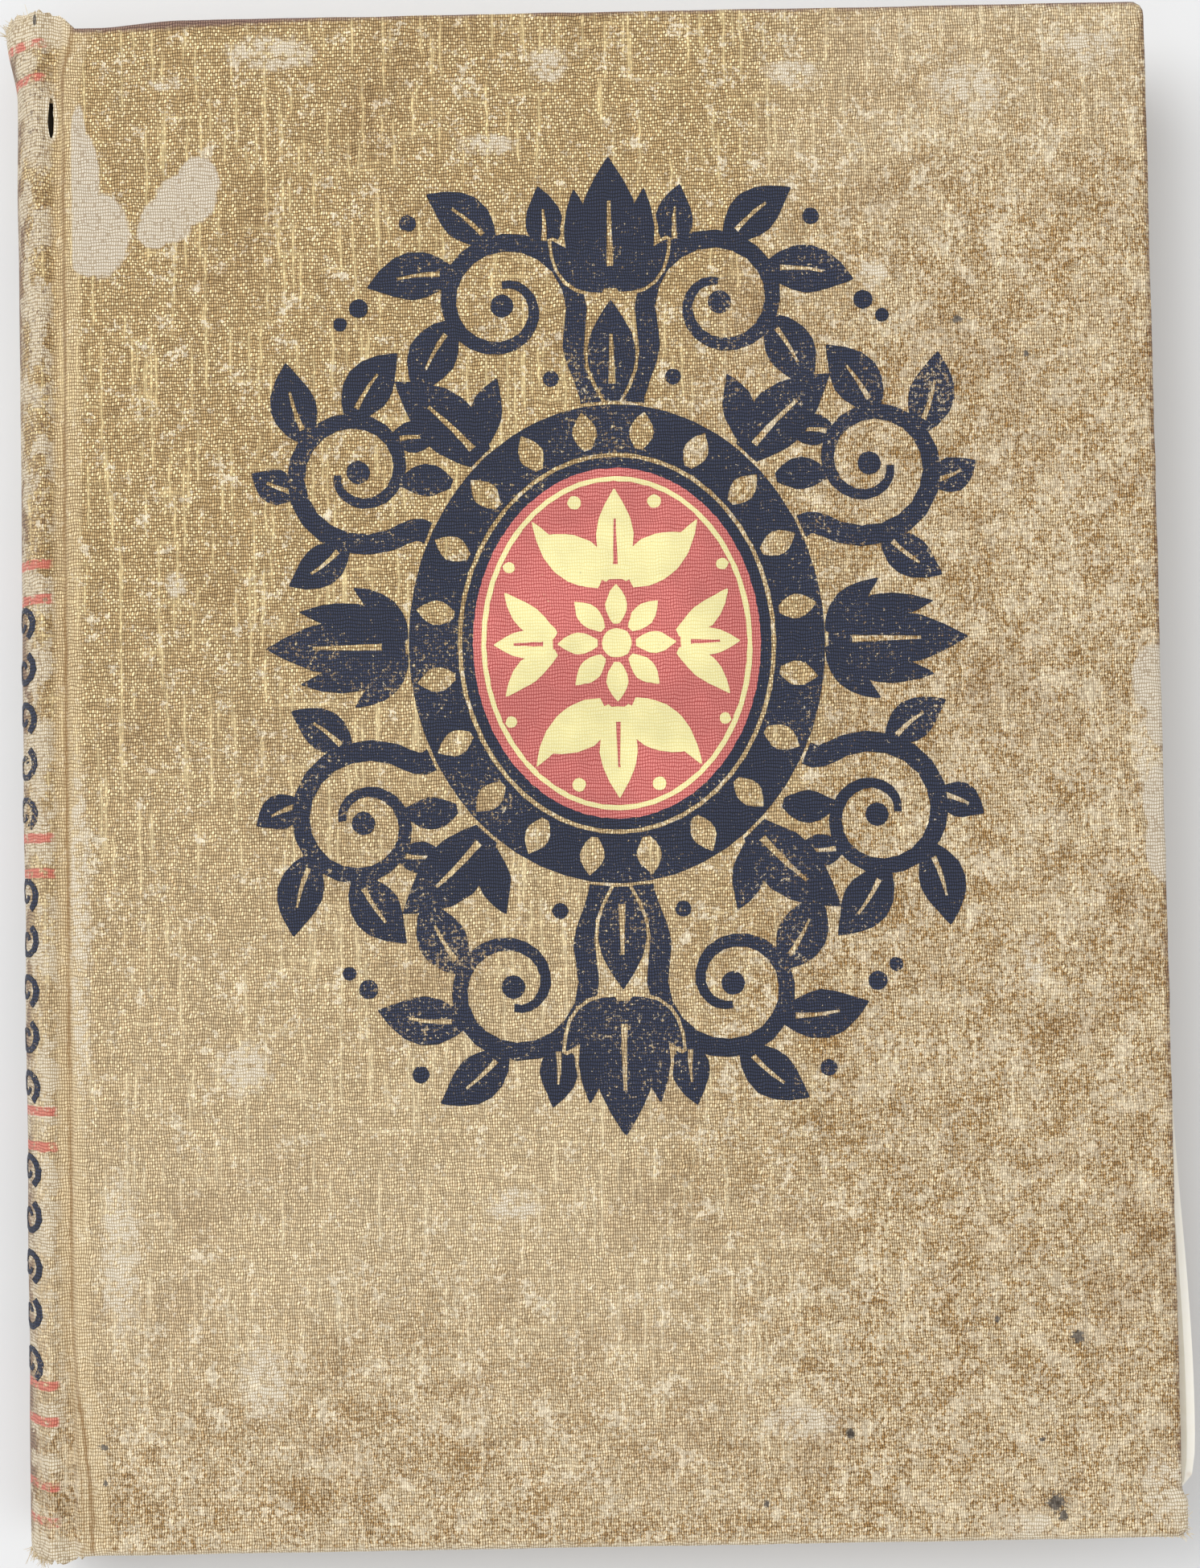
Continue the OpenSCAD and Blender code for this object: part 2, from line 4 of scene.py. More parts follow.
import bmesh
import bpy
from mathutils import Matrix, Vector, noise
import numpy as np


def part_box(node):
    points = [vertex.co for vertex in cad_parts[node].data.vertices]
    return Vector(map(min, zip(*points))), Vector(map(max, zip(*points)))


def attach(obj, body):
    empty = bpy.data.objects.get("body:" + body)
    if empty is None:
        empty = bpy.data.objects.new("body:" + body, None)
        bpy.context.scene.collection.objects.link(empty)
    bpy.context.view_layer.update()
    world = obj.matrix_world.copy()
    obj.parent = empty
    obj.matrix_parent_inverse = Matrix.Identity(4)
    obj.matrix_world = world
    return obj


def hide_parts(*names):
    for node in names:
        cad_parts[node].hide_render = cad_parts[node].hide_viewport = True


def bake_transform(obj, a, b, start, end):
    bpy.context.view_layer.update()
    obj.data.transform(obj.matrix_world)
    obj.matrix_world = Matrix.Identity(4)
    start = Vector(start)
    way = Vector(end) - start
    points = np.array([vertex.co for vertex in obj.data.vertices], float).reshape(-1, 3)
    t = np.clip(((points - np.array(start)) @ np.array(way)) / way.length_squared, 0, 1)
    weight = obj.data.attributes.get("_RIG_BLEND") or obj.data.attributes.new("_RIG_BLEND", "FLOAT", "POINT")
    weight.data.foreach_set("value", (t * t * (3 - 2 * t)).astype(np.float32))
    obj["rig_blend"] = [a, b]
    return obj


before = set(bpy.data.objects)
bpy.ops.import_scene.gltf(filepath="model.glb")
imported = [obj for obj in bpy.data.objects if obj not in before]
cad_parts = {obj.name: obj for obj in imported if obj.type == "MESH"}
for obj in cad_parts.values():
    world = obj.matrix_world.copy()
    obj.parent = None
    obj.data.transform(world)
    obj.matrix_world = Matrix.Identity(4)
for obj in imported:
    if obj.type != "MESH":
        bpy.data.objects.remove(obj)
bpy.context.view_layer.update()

mm = 0.001


# The leaves: sixteen gatherings of thick uncut paper, sewn, rounded and backed into one block.
# The sheets stand a little unevenly at the head, the tail and the fore-edge, and their edges are browned.
def dye(red, green, blue):
    """A colour as it is seen, 0 to 255 a channel, as the linear colour that a material takes."""
    seen = (c / 255 for c in (red, green, blue))
    return tuple(((c + 0.055) / 1.055) ** 2.4 if c > 0.04 else c / 12.92 for c in seen) + (1.0,)


def wire(socket, value):
    """Joins an input to another node's output, or sets it to a plain value."""
    if isinstance(value, bpy.types.NodeSocket):
        socket.id_data.links.new(value, socket)
    else:
        socket.default_value = value


def lay(tree, kind, feeds=None, **settings):
    """A new node with its settings made and its inputs fed."""
    made = tree.nodes.new("ShaderNode" + kind)
    for name, value in settings.items():
        setattr(made, name, value)
    for key, value in (feeds or {}).items():
        wire(made.inputs[key], value)
    return made


def calc(tree, operation, *values):
    return lay(tree, "Math", dict(enumerate(values)), operation=operation).outputs[0]


def times(tree, value, factor):
    return calc(tree, "MULTIPLY", value, factor)


def plus(tree, value, other):
    return calc(tree, "ADD", value, other)


def stretch(tree, place, *scale):
    return lay(tree, "VectorMath", {0: place, 1: scale}, operation="MULTIPLY").outputs[0]


def cloud(tree, place, scale, detail=3.0, roughness=0.5):
    """Soft noise from 0 to 1, of so many lumps a millimetre."""
    feeds = {"Vector": place, "Scale": scale, "Detail": detail, "Roughness": roughness}
    return lay(tree, "TexNoise", feeds).outputs[0]


def stray(tree, place, amount, *lumps):
    """Soft noise about zero, of that amount from its lowest to its highest."""
    return times(tree, calc(tree, "SUBTRACT", cloud(tree, place, *lumps), 0.5), amount)


def rise(tree, value, low, high, bottom=0.0, top=1.0):
    """Rises smoothly from bottom to top while the value goes from low to high."""
    feeds = {0: value, 1: low, 2: high, 3: bottom, 4: top}
    return lay(tree, "MapRange", feeds, interpolation_type="SMOOTHSTEP").outputs[0]


def tint(tree, amount, base, over, how="MIX"):
    """The base colour with the other laid over it by that amount."""
    return lay(tree, "Mix", {0: amount, 6: base, 7: over}, data_type="RGBA", blend_type=how).outputs[2]


def patch(tree, place, spots, ragged, soft):
    """1 in any of the ragged oval spots on a cover, each an x, y, width and height in millimetres."""
    nearest = 1000.0
    for x, y, width, height in spots:
        across, along = 2 / width, 2 / height
        feeds = {0: place, 1: (across, along, 0), 2: (-x * across, -y * along, 0)}
        flat = lay(tree, "VectorMath", feeds, operation="MULTIPLY_ADD").outputs[0]
        far = lay(tree, "VectorMath", {0: flat}, operation="LENGTH").outputs["Value"]
        nearest = calc(tree, "MINIMUM", nearest, far)
    return rise(tree, plus(tree, nearest, ragged), 1 + soft, 1 - soft)


def start_material(name):
    made = bpy.data.materials.new(name)
    made.use_nodes = True
    tree = made.node_tree
    tree.nodes.clear()
    skin = tree.nodes.new("ShaderNodeBsdfPrincipled")
    wire(tree.nodes.new("ShaderNodeOutputMaterial").inputs[0], skin.outputs[0])
    place = stretch(tree, tree.nodes.new("ShaderNodeTexCoord").outputs["Object"], 1000, 1000, 1000)
    return made, tree, skin.inputs, place


def raise_relief(tree, skin, height, depth):
    """Turns a height from 0 to 1 into relief of that depth in metres."""
    wire(skin["Normal"], lay(tree, "Bump", {"Height": height, "Distance": depth, "Strength": 1.0}).outputs[0])


def finish_piece(name, bm, material, sharp_angle=None):
    """Makes the object, which sits at the origin with its place in its mesh."""
    mesh = bpy.data.meshes.new(name)
    bm.to_mesh(mesh)
    bm.free()
    mesh.materials.append(material)
    if sharp_angle:
        mesh.shade_smooth()
        mesh.set_sharp_from_angle(angle=math.radians(sharp_angle))
    made = bpy.data.objects.new(name, mesh)
    bpy.context.scene.collection.objects.link(made)
    return made


def paper_material(name, centre, browned, edge_lines):
    made, tree, skin, place = start_material(name)
    fibre = cloud(tree, place, 0.5, 5, 0.65)
    blush = cloud(tree, place, 0.02, 3, 0.6)
    foxed = rise(tree, cloud(tree, place, 0.16, 2, 0.5), 0.68, 0.78)
    spot = lay(tree, "SeparateXYZ", {0: place}).outputs
    toward_end = rise(tree, calc(tree, "ABSOLUTE", spot[1]), 118, 142)
    near = calc(tree, "MAXIMUM", toward_end, rise(tree, spot[0], 80, 104))
    aged = plus(tree, times(tree, near, 0.5), rise(tree, blush, 0.4, 0.7, 0, 0.3))
    colour = tint(tree, aged, centre, browned)
    colour = tint(tree, times(tree, foxed, 0.35), colour, dye(178, 128, 72))
    colour = tint(tree, rise(tree, fibre, 0.35, 0.65, 0, 0.18), colour, browned, "MULTIPLY")
    height = fibre
    if edge_lines:
        lines = cloud(tree, stretch(tree, place, 0.03, 0.03, 7.0), 1.0, 2, 0.7)
        deeper = cloud(tree, stretch(tree, place, 0.05, 0.05, 1.1), 1.0, 2, 0.6)
        colour = tint(tree, rise(tree, lines, 0.42, 0.6, 0.5, 0.0), colour, dye(168, 140, 98), "MULTIPLY")
        colour = tint(tree, rise(tree, deeper, 0.4, 0.62, 0.3, 0.0), colour, dye(176, 146, 104), "MULTIPLY")
        height = plus(tree, times(tree, lines, 2.0), fibre)
    # painted shadow: the dark hollow seen through the slit in the front joint, painted on the paper that lies
    # under the slit
    ragged = stray(tree, place, 0.9, 0.9, 3, 0.6)
    under_slit = patch(tree, place, [(-101.0, 126.5, 3.4, 11.5)], ragged, 0.3)
    slit_shadow = times(tree, under_slit, rise(tree, spot[2], 17, 18))
    colour = tint(tree, times(tree, slit_shadow, 0.94), colour, dye(24, 18, 14))
    wire(skin["Base Color"], colour)
    wire(skin["Roughness"], 0.9)
    wire(skin["Specular IOR Level"], 0.2)
    raise_relief(tree, skin, height, 0.00006 if edge_lines else 0.00003)
    return made


block_low, block_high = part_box("text_block")
fore_hollow, sheets, sheets_a_gathering = 3.2 * mm, 56, 3.5


def from_cad(node, merged=True):
    """The CAD solid as a mesh to work on, its flat faces merged into one each."""
    bm = bmesh.new()
    bm.from_mesh(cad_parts[node].data)
    bmesh.ops.remove_doubles(bm, verts=bm.verts, dist=0.002 * mm)
    if merged:
        bmesh.ops.dissolve_limit(bm, angle_limit=0.02, verts=bm.verts, edges=bm.edges)
    return bm


def cut(bm, place, facing):
    """Cuts new edges where a plane crosses the mesh."""
    whole = bm.verts[:] + bm.edges[:] + bm.faces[:]
    bmesh.ops.bisect_plane(bm, geom=whole, dist=1e-7, plane_co=place, plane_no=facing)


def leaf_block():
    """The CAD block with the edges of its sheets standing out in ridges."""
    bm = from_cad("text_block")
    for axis, count in ((0, 22), (1, 30)):
        for i in range(1, count):
            place = block_low.lerp(block_high, i / count)
            cut(bm, place, [k == axis for k in range(3)])
    step = (block_high.z - block_low.z) / sheets
    for i in range(1, 2 * sheets):
        cut(bm, (0, 0, block_low.z + step / 2 * i), (0, 0, 1))
    for v in bm.verts:
        half_steps = round((v.co.z - block_low.z) / step * 2)
        on_end, on_fore_edge = abs(v.co.y) > block_high.y - 0.01 * mm, v.co.x > block_high.x - fore_hollow
        sheet = half_steps // 2
        p = Vector((v.co.x / 60, v.co.y / 60, sheet / 1000)) * 1000
        uneven = 0.12 + 0.14 * noise.noise(Vector((p.x, p.y, sheet * 3.7)))
        if half_steps % 2:
            uneven += 0.16
        if half_steps % round(2 * sheets_a_gathering) == 1:
            uneven += 0.12
        if on_end:
            v.co.y -= math.copysign(uneven * mm, v.co.y)
        if on_fore_edge:
            v.co.x -= uneven * mm
    bmesh.ops.recalc_face_normals(bm, faces=bm.faces)
    return finish_piece("sewn_leaves", bm, block_paper)


block_paper = paper_material("paper of the leaves", dye(242, 232, 210), dye(216, 192, 150), True)
sewn_leaves = leaf_block()
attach(sewn_leaves, "leaves_and_spine")
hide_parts("text_block")


# Open-weave gauze and a brown paper lining are glued over the backs of the gatherings.
# The gauze reaches on to both boards, and a card strip keeps the round of the spine.
def plain_material(name, low, high, scale, rough, depth):
    made, tree, skin, place = start_material(name)
    wire(skin["Base Color"], tint(tree, cloud(tree, place, scale, 5, 0.7), low, high))
    wire(skin["Roughness"], rough)
    raise_relief(tree, skin, cloud(tree, place, scale * 3, 3), depth)
    return made


def dress(node, material):
    """Gives a CAD solid that is shown as it is its material."""
    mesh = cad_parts[node].data
    mesh.materials.clear()
    mesh.materials.append(material)


grey_board = plain_material("grey board", dye(120, 110, 94), dye(164, 154, 134), 0.8, 0.95, 0.00012)
gauze = plain_material("glued gauze", dye(150, 138, 112), dye(214, 204, 180), 1.4, 0.9, 0.0001)
brown_paper = plain_material("brown lining paper", dye(124, 92, 58), dye(168, 132, 90), 0.3, 0.9, 0.00005)
for node, material in (("spine_gauze", gauze), ("front_gauze_flange", gauze), ("back_gauze_flange", gauze),
                       ("spine_paper_lining", brown_paper), ("spine_inlay", grey_board),
                       ("back_board", grey_board)):
    dress(node, material)


# The covering cloth is a plain-weave linen, dyed tan and worn pale where it was rubbed.
# It was glued over both boards and the round of the spine, pressed into a groove at each joint,
# and folded in round the edges. Each half bends at its own joint, and the two meet along the crown.
def group(name, inputs, outputs):
    tree = bpy.data.node_groups.new(name, "ShaderNodeTree")
    for way, sockets in (("INPUT", inputs), ("OUTPUT", outputs)):
        for label, kind in sockets:
            tree.interface.new_socket(label, in_out=way, socket_type="NodeSocket" + kind)
    return tree, tree.nodes.new("NodeGroupInput").outputs, tree.nodes.new("NodeGroupOutput").inputs


def shaded(tree, colour, shade):
    """The colour made darker or lighter by a grey shade."""
    grey = lay(tree, "CombineColor", {0: shade, 1: shade, 2: shade}).outputs[0]
    return tint(tree, 1.0, colour, grey, "MULTIPLY")


def linen_group():
    """The weave and its wear. Weave is the place on the unfolded cloth and Place the one in the book, in mm."""
    tree, given, out = group("linen", [("Weave", "Vector"), ("Place", "Vector"), ("Wear", "Float")],
                             [("Color", "Color"), ("Threads", "Float"), ("Slubs", "Float"), ("Uneven", "Float")])
    place = given["Place"]
    warp_pitch, weft_pitch = 0.45, 0.63
    shift = cloud(tree, given["Weave"], 0.35, 2)
    moved = lay(tree, "CombineXYZ", {0: times(tree, shift, 0.9), 1: times(tree, shift, 1.2)}).outputs[0]
    sway = lay(tree, "VectorMath", {0: given["Weave"], 1: moved}, operation="ADD").outputs[0]
    across = lay(tree, "SeparateXYZ", {0: sway}).outputs
    over = calc(tree, "SINE", times(tree, across[0], math.pi / warp_pitch))
    under = calc(tree, "SINE", times(tree, across[1], math.pi / weft_pitch))
    crossing = times(tree, over, under)
    threads = rise(tree, calc(tree, "ABSOLUTE", crossing), 0.02, 0.62)
    warp_up = rise(tree, crossing, -0.15, 0.15)
    ribs = calc(tree, "MAXIMUM", threads, rise(tree, calc(tree, "ABSOLUTE", over), 0.3, 0.9, 0, 0.85))
    warp_slub = cloud(tree, stretch(tree, sway, 1.5, 0.035, 0), 1.0, 3, 0.65)
    weft_slub = cloud(tree, stretch(tree, sway, 0.04, 1.1, 0), 1.0, 3, 0.65)
    slubs = plus(tree, times(tree, warp_slub, 0.6), times(tree, weft_slub, 0.4))
    thread = [calc(tree, "FLOOR", calc(tree, "DIVIDE", across[i], pitch))
              for i, pitch in ((0, warp_pitch), (1, weft_pitch))]
    each = lay(tree, "CombineXYZ", {0: thread[0], 1: thread[1]}).outputs[0]
    uneven = lay(tree, "TexWhiteNoise", {"Vector": each}, noise_dimensions="2D").outputs["Value"]
    streaks = []
    for own, along, low, high in ((thread[0], across[1], 0.6, 0.68), (thread[1], across[0], 0.66, 0.72)):
        run = lay(tree, "CombineXYZ", {0: times(tree, own, 3.7), 1: times(tree, along, 0.045)})
        streaks.append(rise(tree, cloud(tree, run.outputs[0], 1.0, 1), low, high))
    streak = calc(tree, "MAXIMUM", streaks[0], times(tree, streaks[1], 0.6))

    # how much the cloth is rubbed: most towards the fore-edge and the tail, least beside the joint
    spot = lay(tree, "SeparateXYZ", {0: place}).outputs
    drift = cloud(tree, place, 0.018, 2)
    right = rise(tree, plus(tree, spot[0], times(tree, drift, 90)), 30, 140)
    downward = plus(tree, spot[1], times(tree, drift, 60))
    region = calc(tree, "MAXIMUM", right, rise(tree, downward, -30, -115, 0, 0.6))
    region = times(tree, region, rise(tree, spot[1], 150, 60, 0.35, 1.0))
    fine = cloud(tree, place, 1.1, 4, 0.75)
    broad = cloud(tree, place, 0.24, 5, 0.72)
    rubbed = plus(tree, times(tree, fine, 0.5), times(tree, broad, 0.5))
    bias = times(tree, region, 0.048)
    level = plus(tree, rubbed, plus(tree, bias, times(tree, given["Wear"], 0.1)))
    worn = times(tree, rise(tree, level, 0.557, 0.585), rise(tree, region, 0.2, 0.9, 1.0, 0.6))
    lower = rise(tree, downward, 90, -110, 0.06, 0.72)
    dusty = calc(tree, "MAXIMUM", lower, rise(tree, right, 0.1, 0.9, 0, 0.62))
    denser = stray(tree, place, 0.3, 0.13, 3, 0.65)
    speckle = plus(tree, cloud(tree, stretch(tree, place, 1.5, 1.05, 1), 1.0, 4, 0.8), denser)
    flecks = times(tree, rise(tree, speckle, 0.505, 0.54), rise(tree, region, 0.1, 0.7, 0.1, 0.95))

    sound = tint(tree, threads, dye(104, 76, 38), dye(204, 172, 120))
    # painted highlight: the tops of the raised warp threads are painted paler, as if light caught them
    crest_highlight = times(tree, times(tree, warp_up, threads), rise(tree, uneven, 0.15, 0.9, 0.1, 0.95))
    sound = tint(tree, crest_highlight, sound, dye(254, 236, 186))
    sound = tint(tree, times(tree, streak, 0.6), sound, dye(244, 220, 162))
    pale = tint(tree, ribs, dye(142, 112, 68), dye(242, 224, 190))
    pale = tint(tree, times(tree, streak, 0.5), pale, dye(250, 238, 212))
    colour = tint(tree, dusty, sound, pale)
    colour = tint(tree, flecks, colour, tint(tree, ribs, dye(62, 38, 12), dye(170, 130, 74)))
    worn = times(tree, worn, rise(tree, uneven, 0, 0.5, 0.6, 0.95))
    colour = tint(tree, worn, colour, tint(tree, 0.6, pale, dye(244, 232, 206)))
    soil = cloud(tree, place, 0.045, 3, 0.6)
    colour = tint(tree, rise(tree, soil, 0.5, 0.72, 0, 0.22), colour, dye(160, 128, 96), "MULTIPLY")
    shade = times(tree, rise(tree, slubs, 0.3, 0.7, 0.84, 1.12), rise(tree, uneven, 0.0, 1.0, 0.84, 1.14))
    wire(out["Color"], shaded(tree, colour, shade))
    wire(out["Threads"], threads)
    wire(out["Slubs"], slubs)
    wire(out["Uneven"], uneven)
    return tree


linen = linen_group()


# the pale and dark marks on the front cover: x, y, width, height
front_stains = [(-95.0, 117.5, 3.4, 20.5), (-94.2, 113.5, 6.2, 17.5), (-91.2, 103.0, 11.2, 16.0),
                (-93.2, 98.4, 7.2, 6.6), (-72.4, 112.8, 8.0, 9.4), (-74.8, 109.4, 11.4, 9.8),
                (-78.4, 105.6, 9.8, 9.0), (-80.8, 103.4, 6.6, 6.4), (105.6, 15.5, 8.6, 13.0),
                (106.2, 7.0, 5.0, 8.0), (106.0, -7.5, 6.4, 13.0), (106.4, -16.0, 6.8, 13.0)]
front_scuffs = [(-58.6, 137.0, 15.0, 6.6), (-78.6, 131.6, 6.0, 2.4), (-5.9, 133.9, 6.9, 6.0),
                (-77.7, 36.5, 3.9, 4.5), (81.5, -36.9, 3.9, 9.0), (104.6, 3.2, 6.0, 24.1),
                (-18.0, 118.7, 10.5, 3.6), (54.4, 92.9, 5.1, 6.0), (40.1, 131.4, 10.5, 4.5),
                (72.7, 127.7, 13.5, 9.0), (95.6, 135.0, 12.0, 6.0), (-5.0, 30.1, 3.9, 2.7),
                (-62.8, -112.5, 9.0, 13.5), (-89.4, -88.3, 7.0, 26.0), (-96.2, -26.9, 4.0, 60.0),
                (37.0, -121.7, 13.5, 6.0), (104.0, -134.5, 9.0, 13.0), (79.0, -141.4, 9.0, 5.4),
                (-16.0, -80.7, 9.0, 6.0), (-66.5, -54.4, 10.5, 9.0)]
dark_spots = [(83.0, 77.1, 1.1, 1.2), (83.3, -137.0, 3.4, 3.2), (84.6, -139.4, 1.6, 2.0),
              (88.0, -106.6, 2.2, 2.3), (45.6, -123.7, 1.6, 1.9), (-92.9, -123.8, 1.4, 1.1),
              (-92.7, -130.4, 0.8, 1.2), (29.7, -136.3, 1.2, 1.2), (70.1, 83.9, 1.8, 1.5),
              (73.2, -103.1, 0.9, 1.1), (81.0, -125.4, 0.9, 0.9)]


def cloth_material(name, marked):
    """The covering cloth as it is worn on the book. The front one is marked with stains, scuffs and spots."""
    made, tree, skin, _ = start_material(name)
    weave, place = (lay(tree, "Attribute", attribute_name=label).outputs["Vector"]
                    for label in ("weave", "rest"))
    cloth = lay(tree, "Group", node_tree=linen)
    for key, value in (("Weave", weave), ("Place", place), ("Wear", 0.0 if marked else 0.35)):
        wire(cloth.inputs[key], value)
    threads, slubs, uneven = (cloth.outputs[name] for name in ("Threads", "Slubs", "Uneven"))
    colour = cloth.outputs["Color"]
    spot = lay(tree, "SeparateXYZ", {0: place}).outputs
    ragged = stray(tree, place, 0.55, 0.9, 3, 0.6)

    # the spine: darkened where it faces out, towards the crown, partly the dulled cloth and partly painted shade
    # where the round of the spine turns away from the light; bleached in patches, and pale where the caps have
    # frayed
    toward_crown = rise(tree, plus(tree, spot[0], times(tree, ragged, 3)), -99.6, -101.6)
    patches = rise(tree, cloud(tree, place, 0.14, 6, 0.72), 0.485, 0.525)
    by_slit = patch(tree, place, [(-102.6, 124.5, 7.4, 17.0)], times(tree, ragged, 1.6), 0.25)
    between_rules = patch(tree, place, [(-105.6, 136.4, 5.4, 5.2)], times(tree, ragged, 1.2), 0.2)
    patches = calc(tree, "MAXIMUM", calc(tree, "MAXIMUM", patches, by_slit), between_rules)
    bleached = tint(tree, threads, dye(178, 156, 120), dye(238, 226, 202))
    bleached = tint(tree, rise(tree, uneven, 0.75, 0.95, 0, 0.55), bleached, dye(134, 104, 66))
    dulled_and_painted_shade = tint(tree, threads, dye(76, 54, 50), dye(148, 118, 98))
    from_crown = plus(tree, spot[0], times(tree, cloud(tree, place, 0.05, 4, 0.7), 6))
    spine = tint(tree, rise(tree, from_crown, -102.2, -105.2, 0, 0.85), colour, dulled_and_painted_shade)
    patches = times(tree, patches, rise(tree, from_crown, -106.2, -104.8, 0.1, 0.9))
    spine = tint(tree, patches, spine, bleached)
    specks = rise(tree, cloud(tree, place, 1.3, 4, 0.8), 0.55, 0.59)
    specks = times(tree, specks, rise(tree, spot[1], -60, 80, 0.1, 0.7))
    spine = tint(tree, specks, spine, dye(92, 62, 44))
    colour = tint(tree, toward_crown, colour, spine)
    middle = calc(tree, "ABSOLUTE", spot[1])
    near_spine = rise(tree, plus(tree, spot[0], times(tree, ragged, 4)), -95.6, -97.0)
    head_cap = rise(tree, plus(tree, spot[1], times(tree, ragged, 5)), 138.5, 140.0)
    tail_cap = rise(tree, plus(tree, spot[1], times(tree, ragged, 4)), -140.4, -142.0)
    by_cap = times(tree, near_spine, calc(tree, "MAXIMUM", head_cap, tail_cap))
    colour = tint(tree, times(tree, by_cap, 0.92), colour, bleached)

    # the groove keeps its colour, with painted shade along its bottom and along a second crease towards the
    # tail, and a painted highlight where the cloth rises from the groove over the board's edge
    bend = plus(tree, rise(tree, spot[1], -95, -140, 0, 3.7), rise(tree, spot[1], 0, 120, 0, 0.9))
    bend = plus(tree, bend, rise(tree, spot[1], 132, 143, 0, 2.2))
    strayed = stray(tree, place, 1.2, 0.25, 3)
    off = plus(tree, calc(tree, "SUBTRACT", calc(tree, "SUBTRACT", spot[0], bend), -98.9), strayed)
    deep = rise(tree, calc(tree, "ABSOLUTE", off), 0.7, 0.1)
    fold = times(tree, rise(tree, calc(tree, "ABSOLUTE", plus(tree, off, 1.5)), 0.45, 0.0),
                rise(tree, spot[1], -92, -108))
    deep = calc(tree, "MAXIMUM", deep, times(tree, fold, 0.55))
    broken = rise(tree, cloud(tree, stretch(tree, place, 1, 0.12, 1), 0.4, 3), 0.3, 0.6, 0.35, 1.0)
    deep = times(tree, deep, broken)
    painted_groove_highlight = rise(tree, calc(tree, "ABSOLUTE", calc(tree, "SUBTRACT", off, 0.6)), 3.4, 2.0, 0, 0.5)
    colour = tint(tree, painted_groove_highlight, colour, tint(tree, threads, dye(160, 134, 94), dye(244, 222, 180)))
    colour = tint(tree, times(tree, deep, 0.65), colour, dye(134, 96, 48))

    # edges of the covers: rubbed dark at the head, pale at the tail, and flecked brown down the fore-edge
    over_board = rise(tree, spot[0], -97, -95)
    nibbled = times(tree, ragged, 2.4)
    by_spine = rise(tree, spot[0], -35, -95)
    upward = plus(tree, spot[1], nibbled)
    head_edge = rise(tree, plus(tree, upward, times(tree, by_spine, 1.6)), 142.6, 144.0)
    kept = plus(tree, cloud(tree, place, 0.1, 3, 0.6), times(tree, by_spine, 0.3))
    head_edge = times(tree, head_edge, rise(tree, kept, 0.4, 0.52, 0.1, 0.95))
    grimy = tint(tree, threads, dye(84, 60, 56), dye(146, 116, 104))
    colour = tint(tree, times(tree, head_edge, over_board), colour, grimy)
    tail_edge = rise(tree, upward, -142.4, -143.8)
    by_corner = patch(tree, place, [(108.0, -139.5, 6.0, 11.0)], nibbled, 0.4)
    colour = tint(tree, times(tree, tail_edge, 0.75), colour, bleached)
    fore_edge = times(tree, rise(tree, plus(tree, spot[0], nibbled), 105.4, 106.7),
                     rise(tree, cloud(tree, place, 0.5, 3, 0.7), 0.42, 0.55, 0.1, 0.9))
    colour = tint(tree, fore_edge, colour, tint(tree, threads, dye(78, 52, 36), dye(140, 104, 72)))
    colour = tint(tree, times(tree, by_corner, 0.9), colour, bleached)

    if marked:
        splashed = stray(tree, place, 3.0, 1.6, 4, 0.75)
        cap_blot = patch(tree, place, [(-103.2, 144.6, 0.8, 2.2)], ragged, 0.2)
        stain = patch(tree, place, front_stains, times(tree, ragged, 0.5), 0.08)
        stain = times(tree, stain, rise(tree, spot[0], -96.7, -96.1))
        scuff = patch(tree, place, front_scuffs, times(tree, ragged, 2.6), 0.3)
        blot = calc(tree, "MAXIMUM", patch(tree, place, dark_spots, splashed, 0.2), cap_blot)
        flaked = times(tree, scuff, rise(tree, cloud(tree, place, 0.6, 4, 0.75), 0.44, 0.54, 0.1, 0.85))
        colour = tint(tree, flaked, colour, tint(tree, threads, dye(190, 172, 142), dye(240, 230, 210)))
        bare = tint(tree, threads, dye(176, 158, 132), dye(228, 218, 200))
        bare = tint(tree, rise(tree, uneven, 0.86, 0.96, 0, 0.5), bare, dye(146, 122, 92))
        colour = tint(tree, times(tree, stain, 0.92), colour, bare)
        lips = times(tree, patch(tree, place, [(slit_x / mm, slit_y / mm, 2.5, 9.0)], ragged, 0.2), 0.85)
        colour = tint(tree, lips, colour, tint(tree, threads, dye(186, 166, 132), dye(246, 236, 214)))
        spotted = tint(tree, uneven, dye(36, 33, 34), dye(112, 106, 100))
        colour = tint(tree, times(tree, blot, 0.88), colour, spotted)

    # the pairs of red rules round the spine
    waved = plus(tree, spot[1], stray(tree, place, 0.8, 0.35, 2))
    from_pair = 1000.0
    for pair in rule_pairs:
        from_this = calc(tree, "ABSOLUTE", calc(tree, "SUBTRACT", waved, pair))
        from_pair = calc(tree, "MINIMUM", from_pair, from_this)
    away = calc(tree, "ABSOLUTE", calc(tree, "SUBTRACT", from_pair, rule_gap / 2))
    rules = rise(tree, plus(tree, away, times(tree, ragged, 0.7)), rule_w / 2 + 0.15, rule_w / 2 - 0.1)
    rules = times(tree, rules, rise(tree, plus(tree, spot[0], times(tree, ragged, 3)), -101.0, -101.8))
    rubbed = plus(tree, cloud(tree, place, 0.55, 4, 0.75), rise(tree, middle, 100, 138, 0, -0.07))
    rules = times(tree, rules, rise(tree, rubbed, 0.38, 0.48, 0.12, 0.88))
    colour = tint(tree, rules, colour, tint(tree, threads, dye(172, 82, 70), dye(226, 128, 112)))

